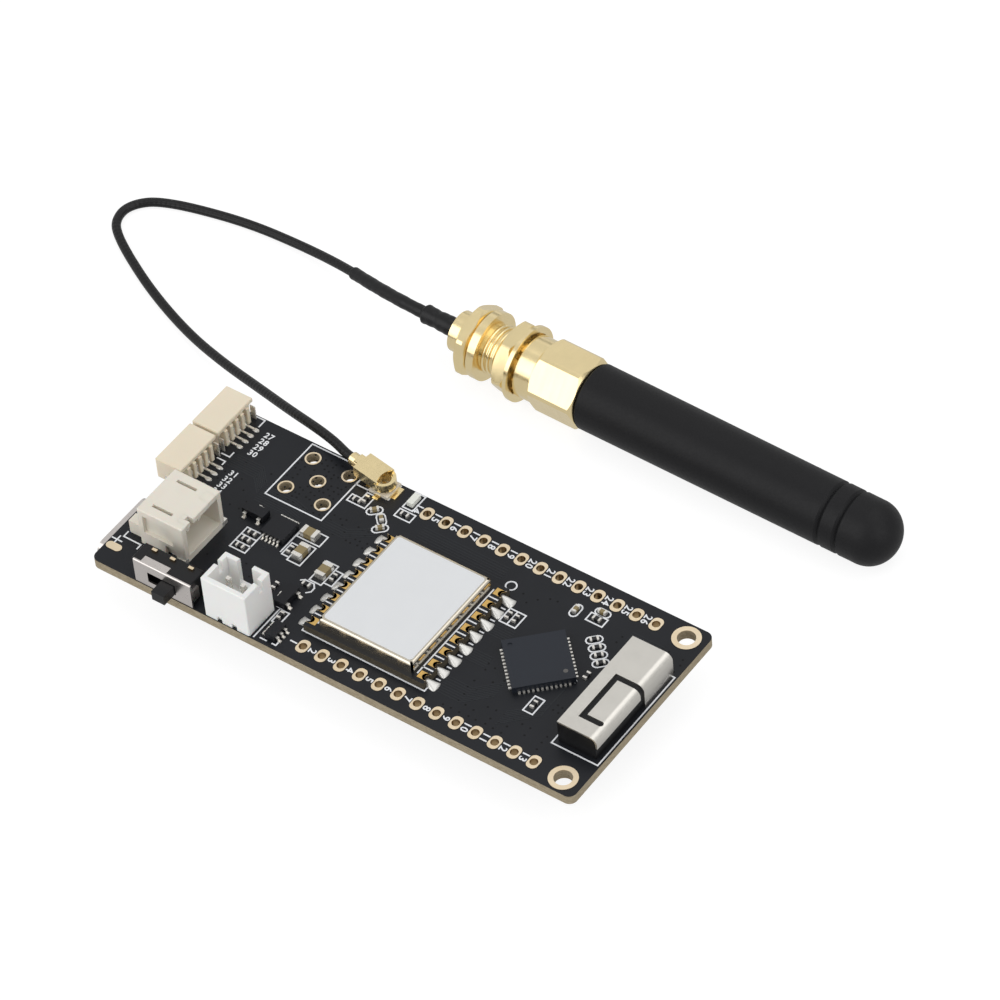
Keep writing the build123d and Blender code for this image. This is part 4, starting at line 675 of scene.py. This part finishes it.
def drawStrokes(name, tree, lines, height, width, thickness):
    base = strokeMesh(name, lines, height, width / 2 - marks["shy"])
    return grown(name, tree, base, Width=width * mm, Height=thickness * mm)


def boxLine(x0, y0, x1, y1):
    return [(x0, y0), (x1, y0), (x1, y1), (x0, y1), (x0, y0)]


def ringLine(x, y, radius, count):
    turns = [2 * math.pi * i / count for i in range(count + 1)]
    return [(x + radius * math.cos(t), y + radius * math.sin(t)) for t in turns]


def makeLines():
    tree = makeStrokeTree("ink_strokes", "ink")
    lines = [boxLine(*box) for box in marks["boxes"]] + marks["lines"]
    lines += [capsule(*oval) for oval in marks["ovals"]] + [ringLine(*ring) for ring in marks["rings"]]
    teeth = marks["teeth"]
    rows = [teeth["first"] + teeth["pitch"] * i for i in range(teeth["count"])]
    lines += [[(x, y) for x in teeth["dash"]] for y in rows]
    low = drawStrokes("low_strokes", tree, lines, marks["lift"], marks["width"], marks["height"])
    lines = [[(left, y), (right, y)] for y in rows for left, right in (teeth["left"], teeth["right"])]
    ends = (rows[0] - teeth["pitch"] / 2, rows[-1] + teeth["pitch"] / 2)
    lines += [[(x, ends[0]), (x, ends[1])] for x in (teeth["left"][1], teeth["right"][0])]
    high = drawStrokes("high_strokes", tree, lines, marks["carrierTop"] + marks["lift"], marks["width"],
                       marks["height"])
    addPiece("printed_lines", joined("printed_lines", [low, high]), "ink")


numerals = {
    "size": 1.3, "bold": 0.022, "spacing": 1.12, "height": 0.03, "lift": 0.012,
    "headers": 13, "pitch": 2.54, "rows": (0.0, 22.86), "aside": -1.27, "turn": -90,
    "columns": [(-21.9, (23.0, 21.98, 20.96, 19.94)), (-21.9, (16.3, 15.28, 14.26, 13.24))],
    "columnSize": 1.1, "smoothness": 2,
}


def numeral(number, x, y, size, turn):
    # one number, centred on its place
    curve = bpy.data.curves.new("numeral", "FONT")
    curve.body = str(number)
    curve.size = size * mm
    curve.offset = numerals["bold"] * mm
    curve.space_character = numerals["spacing"]
    curve.extrude = numerals["height"] / 2 * mm
    curve.resolution_u = numerals["smoothness"]
    holder = bpy.data.objects.new("numeral", curve)
    bpy.context.collection.objects.link(holder)
    mesh = bpy.data.meshes.new_from_object(holder.evaluated_get(bpy.context.evaluated_depsgraph_get()))
    bpy.data.objects.remove(holder)
    corners = [[pick(v.co[k] for v in mesh.vertices) for k in (0, 1)] for pick in (min, max)]
    middle = Vector(((corners[0][0] + corners[1][0]) / 2, (corners[0][1] + corners[1][1]) / 2, 0))
    mesh.transform(Matrix.Translation(at(x, y, numerals["lift"])) @
                   Matrix.Rotation(math.radians(turn), 4, "Z") @ Matrix.Translation(-middle))
    return mesh


def makeNumerals():
    made = []
    for row, y in enumerate(numerals["rows"]):
        for i in range(numerals["headers"]):
            x = numerals["aside"] + numerals["pitch"] * i
            made.append(numeral(row * numerals["headers"] + i + 1, x, y, numerals["size"], numerals["turn"]))
    number = len(numerals["rows"]) * numerals["headers"]
    for x, rows in numerals["columns"]:
        for y in rows:
            number += 1
            made.append(numeral(number, x, y, numerals["columnSize"], 0))
    addPiece("printed_numbers", joined("printed_numbers", made), "ink")


makeLines()
makeNumerals()
print("printing made")


# Tented holes and covered traces of the board, and the mark on the processor

dots = {
    "radius": 0.13, "height": 0.012, "sides": 12, "seed": 11, "jitter": 0.12,
    "fields": [(-16.6, 16.4, -9.8, 24.3, 0.72, 0.75), (17.5, 1.5, 30.0, 4.6, 1.1, 0.55),
               (18.5, 5.0, 22.0, 9.0, 0.9, 0.6), (28.0, 7.0, 30.2, 11.0, 0.8, 0.5),
               (26.5, 18.4, 36.0, 19.8, 0.95, 0.5), (15.8, 17.0, 21.0, 20.6, 0.95, 0.35),
               (-8.6, 14.9, -2.6, 18.0, 0.8, 0.7), (-23.0, 12.5, -17.6, 18.8, 1.2, 0.35),
               (-12.5, 5.0, -9.0, 9.0, 1.3, 0.4), (0.6, 18.6, 12.8, 19.4, 1.2, 0.3),
               (33.0, 18.5, 36.2, 21.0, 0.9, 0.4), (-17.0, 3.0, -13.0, 7.0, 1.1, 0.4)],
}


def makeDots():
    draw = random.Random(dots["seed"])
    points = []
    for x0, y0, x1, y1, pitch, share in dots["fields"]:
        for i in range(int((x1 - x0) / pitch) + 1):
            for k in range(int((y1 - y0) / pitch) + 1):
                spot = [low + pitch * n + draw.uniform(-1, 1) * dots["jitter"]
                        for low, n in ((x0, i), (y0, k))]
                if draw.random() < share:
                    points.append(at(*spot, 0))
    mesh = grown("tented_holes", makeDotTree("tented_dots", "tented"), meshOf("dots", points, []),
                 Radius=dots["radius"] * mm, Height=dots["height"] * mm, Sides=dots["sides"])
    addPiece("tented_holes", mesh, "tented")


chipMark = {"place": (26.5, 11.65, 0.9), "radius": 0.27, "height": 0.012, "sides": 24}


def makeChipMark():
    corner = meshOf("corner", [at(*chipMark["place"])], [])
    mesh = grown("processor_mark", makeDotTree("mark_dot", "chipMark"), corner,
                 Radius=chipMark["radius"] * mm, Height=chipMark["height"] * mm, Sides=chipMark["sides"])
    addPiece("processor_mark", mesh, "chipMark")


traces = {
    "width": 0.13, "height": 0.016,
    "bundles": [(7, 0.3, [(-23.3, 17.15), (-19.6, 17.15), (-17.9, 15.4)]),
                (9, 0.3, [(-17.6, 14.5), (-13.6, 14.5), (-11.6, 14.0)]),
                (8, 0.34, [(15.9, 2.6), (19.0, 2.6), (21.6, 5.2)]),
                (7, 0.34, [(24.0, 2.2), (27.4, 5.6), (27.4, 9.0)]),
                (6, 0.32, [(15.9, 8.0), (18.3, 8.0)]), (6, 0.32, [(15.9, 12.2), (18.3, 12.2)]),
                (6, 0.36, [(1.0, 19.3), (12.4, 19.3)]), (5, 0.34, [(-8.9, 15.0), (-6.0, 15.0), (-3.0, 17.0)]),
                (6, 0.32, [(29.0, 19.0), (33.0, 19.0)]), (4, 0.4, [(-12.4, 9.0), (-11.2, 10.4)])],
}


def makeTraces():
    lines = []
    for count, pitch, route in traces["bundles"]:
        for i in range(count):
            lines.append([(x, y + i * pitch) for x, y in route])
    mesh = drawStrokes("board_traces", makeStrokeTree("trace_strokes", "trace"), lines, 0,
                       traces["width"], traces["height"])
    addPiece("board_traces", mesh, "trace")


makeDots()
makeChipMark()
makeTraces()
print("board detail made")


# Solder at the radio module's half holes and at the side connectors' feet, and the module's lands

solder = {
    "length": 1.62, "inner": 0.4, "outer": 0.68, "height": 0.72, "lip": 0.05, "sunk": 0.34,
    "fall": 0.9, "swell": 0.06, "bow": 0.1, "rows": 7, "columns": 8,
    "pads": 8, "first": 2.95, "pitch": 2.0, "left": -1.35, "right": 14.65, "least": (0.86, 0.9, 0.75),
    "feet": {"size": (0.52, 0.3, 0.14), "x": -23.8, "middles": (14.75, 21.5), "first": -1.5, "count": 4,
             "pitch": 1.0, "least": (0.8, 0.8, 0.7), "segments": 14, "rings": 8},
}
lands = {"inner": -1.2, "half": 0.5, "notch": 0.4, "height": 0.03, "steps": 8}


def fanBlob(side):
    # one fillet: high at the half hole, wide and thin at its far end
    rows, columns = solder["rows"], solder["columns"]
    top, faces = [], []
    for i in range(rows + 1):
        out = i / rows
        half = solder["inner"] + (solder["outer"] - solder["inner"]) * math.sin(out * math.pi / 2)
        for k in range(columns + 1):
            across = 2 * k / columns - 1
            rise = solder["height"] * (1 - out) ** solder["fall"] + solder["swell"] * math.sin(out * math.pi)
            reach = solder["length"] * out * (1 - solder["bow"] * across ** 2)
            top.append((side * reach * mm, half * across * mm,
                        (solder["lip"] + rise * (1 - across ** 4)) * mm))
    under = [(x, y, 0.0) for x, y, _ in top]
    wide = columns + 1
    for i in range(rows):
        for k in range(columns):
            a = i * wide + k
            faces.append((a, a + 1, a + 1 + wide, a + wide))
            faces.append(tuple(v + len(top) for v in (a, a + wide, a + 1 + wide, a + 1)))
    rim = list(range(wide)) + [i * wide + columns for i in range(1, rows + 1)]
    rim += [rows * wide + k for k in range(columns - 1, -1, -1)] + [i * wide for i in range(rows - 1, 0, -1)]
    for a, b in zip(rim, rim[1:] + rim[:1]):
        faces.append((a, b, b + len(top), a + len(top)))
    return meshOf("fan_blob", top + under, faces)


def landPlate(side):
    # a gold land on the module's board, cut out round by its half hole
    turns = [math.pi * (i / lands["steps"] - 0.5) for i in range(lands["steps"] + 1)]
    notch = [(-lands["notch"] * math.cos(t), lands["notch"] * math.sin(t)) for t in turns]
    outline = [(lands["inner"], -lands["half"]), (0, -lands["half"])] + notch
    outline += [(0, lands["half"]), (lands["inner"], lands["half"])]
    count = len(outline)
    points = [(side * x * mm, y * mm, z * mm) for z in (0, lands["height"]) for x, y in outline]
    faces = [tuple(range(count)), tuple(range(2 * count - 1, count - 1, -1))]
    faces += [(i, (i + 1) % count, (i + 1) % count + count, i + count) for i in range(count)]
    return meshOf("land_plate", points, faces)


def makeLands():
    tree, made = makeRowTree("land_row", "landGold"), []
    for side, x in ((-1, solder["left"]), (1, solder["right"])):
        made.append(grown("lands", tree, landPlate(side), Count=solder["pads"],
                          First=at(x, solder["first"], marks["carrierTop"]),
                          Step=(0, solder["pitch"] * mm, 0), Least=(1, 1, 1), Seed=1))
    addPiece("module_lands", joined("module_lands", made), "landGold")


def makeSolder():
    tree, made = makeRowTree("solder_row", "solder"), []
    for side, x in ((-1, solder["left"]), (1, solder["right"])):
        made.append(grown("radio_row", tree, fanBlob(side), Count=solder["pads"],
                          First=at(x - side * solder["sunk"], solder["first"]),
                          Step=(0, solder["pitch"] * mm, 0), Least=solder["least"], Seed=3 + side))
    piece = addPiece("radio_solder", joined("radio_solder", made), "solder", smooth=True)
    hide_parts("radio_pads")
    feet, made = solder["feet"], []
    for turn, middle in enumerate(feet["middles"]):
        ball = bmesh.new()
        bmesh.ops.create_uvsphere(ball, u_segments=feet["segments"], v_segments=feet["rings"], radius=1)
        bmesh.ops.scale(ball, vec=[s * mm for s in feet["size"]], verts=ball.verts)
        base = bpy.data.meshes.new("foot")
        ball.to_mesh(base)
        ball.free()
        made.append(grown("foot_row", tree, base, Count=feet["count"],
                          First=at(feet["x"], middle + feet["first"]), Step=(0, feet["pitch"] * mm, 0),
                          Least=feet["least"], Seed=7 + turn))
    addPiece("connector_solder", joined("connector_solder", made), "solder", smooth=True)


makeLands()
makeSolder()
print("solder made")


# Side connectors: a shell with a lid that overhangs its ribs, in mm from the first header hole

sideHousing = {
    "front": -28.85, "wall": -25.85, "lid": -25.2, "underLid": 2.4, "top": 2.95, "width": 6.4,
    "middles": {"side_connector_middle": 14.75, "side_connector_far": 21.5},
    "edge": 0.07, "rim": 0.42, "depth": 2.35,
    "rib": {"rear": -24.97, "width": 0.5, "count": 5, "pitch": 1.0, "edge": 0.05, "sunk": 0.05,
            "short": 0.02},
    "tab": {"from": -25.5, "to": -24.75, "width": 0.16, "inset": 0.28, "height": 1.95, "edge": 0.03},
}
roundSteps = 2   # faces across each rounded edge


def block(name, low, high, edge):
    # a box between two corners, its edges rounded
    shape = bmesh.new()
    bmesh.ops.create_cube(shape, size=1)
    for vertex in shape.verts:
        share = [c + 0.5 for c in vertex.co]
        vertex.co = at(*(a + (b - a) * s for a, b, s in zip(low, high, share)))
    if edge:
        bmesh.ops.bevel(shape, geom=shape.edges[:], offset=edge * mm, segments=roundSteps,
                        affect="EDGES")
    mesh = bpy.data.meshes.new(name)
    shape.to_mesh(mesh)
    shape.free()
    return mesh


def sideShell(middle):
    # the housing's profile drawn out along Y, rounded, with its mouth sunk in from the front
    given = sideHousing
    front, wall, lid = given["front"], given["wall"], given["lid"]
    profile = [(front, 0), (wall, 0), (wall, given["underLid"]), (lid, given["underLid"]),
               (lid, given["top"]), (front, given["top"])]
    shape = bmesh.new()
    near = [shape.verts.new(at(x, middle - given["width"] / 2, z)) for x, z in profile]
    side = shape.faces.new(near)
    moved = bmesh.ops.extrude_face_region(shape, geom=[side])["geom"]
    verts = [v for v in moved if isinstance(v, bmesh.types.BMVert)]
    bmesh.ops.translate(shape, vec=(0, given["width"] * mm, 0), verts=verts)
    bmesh.ops.recalc_face_normals(shape, faces=shape.faces)
    bmesh.ops.bevel(shape, geom=shape.edges[:], offset=given["edge"] * mm, segments=roundSteps,
                    affect="EDGES")
    mouth = max((f for f in shape.faces if f.normal.x < -0.9), key=lambda f: f.calc_area())
    bmesh.ops.inset_region(shape, faces=[mouth], thickness=given["rim"] * mm)
    inner = bmesh.ops.extrude_discrete_faces(shape, faces=[mouth])["faces"][0]
    bmesh.ops.translate(shape, vec=(given["depth"] * mm, 0, 0), verts=inner.verts)
    mesh = bpy.data.meshes.new("side_shell")
    shape.to_mesh(mesh)
    shape.free()
    return mesh


def makeSideConnectors():
    given, rib, tab = sideHousing, sideHousing["rib"], sideHousing["tab"]
    row, tabs = makeRowTree("rib_row", "cream"), []
    half = given["width"] / 2
    for node, middle in given["middles"].items():
        first = middle - rib["pitch"] * (rib["count"] - 1) / 2
        bar = block("rib", (given["wall"] - rib["sunk"], first - rib["width"] / 2, 0),
                    (rib["rear"], first + rib["width"] / 2, given["underLid"] - rib["short"]), rib["edge"])
        ribs = grown("ribs", row, bar, Count=rib["count"], First=(0, 0, 0),
                     Step=(0, rib["pitch"] * mm, 0), Least=(1, 1, 1), Seed=1)
        piece = addPiece(node + "_housing", joined("housing", [sideShell(middle), ribs]), "cream")
        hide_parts(node)
        for side in (-1, 1):
            y = middle + side * (half - tab["inset"])
            tabs.append(block("tab", (tab["from"], y - tab["width"] / 2, 0),
                              (tab["to"], y + tab["width"] / 2, tab["height"]), tab["edge"]))
    addPiece("side_connector_tabs", joined("side_connector_tabs", tabs), "tin")


makeSideConnectors()
print("side connectors made")


# Battery connector: the front of its lid is closed but for one small notch

batteryLid = {"blocks": [((-19.34, 7.6, 4.86), (-18.0, 8.9, 5.5)), ((-19.34, 3.6, 4.86), (-18.0, 4.25, 5.5)),
                         ((-19.34, 4.2, 4.86), (-18.75, 4.9, 5.5))]}


def makeBatteryLid():
    made = [block("lid", low, high, 0) for low, high in batteryLid["blocks"]]
    addPiece("battery_lid", joined("battery_lid", made), "beige")


makeBatteryLid()
print("battery lid made")


# Thread of the coaxial jack, in mm along the antenna

thread = {"radius": 2.84, "ridge": 0.25, "pitch": 0.64, "stretches": [(-13.5, -11.25), (-8.62, -8.34)]}


def makeThreads():
    tree, made = makeThreadTree("thread_ridge", "gold"), []
    upright = axis.to_track_quat("Z", "Y").to_matrix().to_4x4()
    for start, end in thread["stretches"]:
        mesh = grown("thread", tree, meshOf("seed", [(0, 0, 0)], []), Turns=(end - start) / thread["pitch"],
                     Radius=thread["radius"] * mm, Length=(end - start) * mm, Ridge=thread["ridge"] * mm)
        mesh.transform(Matrix.Translation(onAxis(start)) @ upright)
        made.append(mesh)
    addPiece("jack_thread", joined("jack_thread", made), "gold", smooth=True)


makeThreads()
print("thread made")


# Floor, backdrop and lights

studio = {
    "floor": 1.6, "gap": 0.02, "glow": 0.84, "paper": 0.26, "plain": 0.85, "world": 0.5, "mirrored": 0.62,
    "sky": [(0.48, 0.62), (0.54, 0.95), (0.6, 0.22), (0.7, 0.85), (0.79, 0.68), (1.0, 0.7)],
    "lamps": [("front", (-0.43, -0.81, 0.55), 0.95, (1.1, 1.0), 1.3),
              ("top", (0.15, 0.35, 1.0), 1.1, (1.0, 1.0), 0.85),
              ("right", (0.9, -0.1, 0.5), 1.0, (0.7, 0.9), 1.1)],
}


def cameraRay(graph):
    return graph.add("ShaderNodeLightPath", out="Is Camera Ray")


def mirrorRay(graph):
    # 1 for what is seen in a gloss or through glass
    glossy = graph.add("ShaderNodeLightPath", out="Is Glossy Ray")
    through = graph.add("ShaderNodeLightPath", out="Is Transmission Ray")
    return glossy.maths("MAXIMUM", glossy, through)


def makeFloor():
    size = studio["floor"] / 2
    height = cadBox[0][2] - studio["gap"] * mm
    corners = [(-size, -size, height), (size, -size, height), (size, size, height), (-size, size, height)]
    floor = bpy.data.objects.new("floor", meshOf("floor", corners, [(0, 1, 2, 3)]))
    bpy.context.collection.objects.link(floor)
    material = bpy.data.materials.new("white_floor")
    material.use_nodes = True
    graph = Graph(material.node_tree)
    graph.tree.nodes.clear()
    paper = graph.add("ShaderNodeBsdfDiffuse", None, {"Color": (studio["paper"],) * 3})
    glow = graph.add("ShaderNodeEmission", None, {"Color": (1, 1, 1), "Strength": studio["glow"]})
    white = graph.add("ShaderNodeAddShader", None, {0: paper, 1: glow})
    plain = graph.add("ShaderNodeBsdfDiffuse", None, {"Color": (studio["plain"],) * 3})
    grey = graph.add("ShaderNodeEmission", None, {"Color": (1, 1, 1), "Strength": studio["mirrored"]})
    hidden = graph.add("ShaderNodeMixShader", None, {0: mirrorRay(graph), 1: plain, 2: grey})
    mixed = graph.add("ShaderNodeMixShader", None, {0: cameraRay(graph), 1: hidden, 2: white})
    # a camera below the floor looks through it
    under = graph.add("ShaderNodeNewGeometry", out="Backfacing") * cameraRay(graph)
    clear = graph.add("ShaderNodeBsdfTransparent")
    both = graph.add("ShaderNodeMixShader", None, {0: under, 1: mixed, 2: clear})
    graph.add("ShaderNodeOutputMaterial", None, {0: both})
    floor.data.materials.append(material)


def makeWorld():
    world = bpy.data.worlds.new("studio")
    bpy.context.scene.world = world
    world.use_nodes = True
    graph = Graph(world.node_tree)
    graph.tree.nodes.clear()
    level = studio["world"]
    place = graph.add("ShaderNodeTexCoord", out="Generated")
    height = graph.add("ShaderNodeSeparateXYZ", None, {0: place}, 2)
    stops = [(where, (tone,) * 3) for where, tone in studio["sky"]]
    bands = graph.add("ShaderNodeValToRGB", {"stops": stops}, {0: height * 0.5 + 0.5})
    strength = cameraRay(graph) * (1 - level) + mirrorRay(graph) * (bands - level) + level
    sky = graph.add("ShaderNodeBackground", None, {"Color": (1, 1, 1), "Strength": strength})
    graph.add("ShaderNodeOutputWorld", None, {0: sky})


def makeLamps():
    middle = (cadBox[0] + cadBox[1]) / 2
    for name, direction, distance, size, brightness in studio["lamps"]:
        lamp = bpy.data.lights.new(name, "AREA")
        lamp.shape = "RECTANGLE"
        lamp.size, lamp.size_y = size
        lamp.energy = brightness * math.pi * size[0] * size[1]
        holder = bpy.data.objects.new(name, lamp)
        away = Vector(direction).normalized()
        holder.location = middle + away * distance
        holder.rotation_mode = "QUATERNION"
        holder.rotation_quaternion = away.to_track_quat("Z", "Y")
        bpy.context.collection.objects.link(holder)


makeFloor()
makeWorld()
makeLamps()
bpy.context.scene.view_settings.view_transform = "Standard"
print("studio ready")
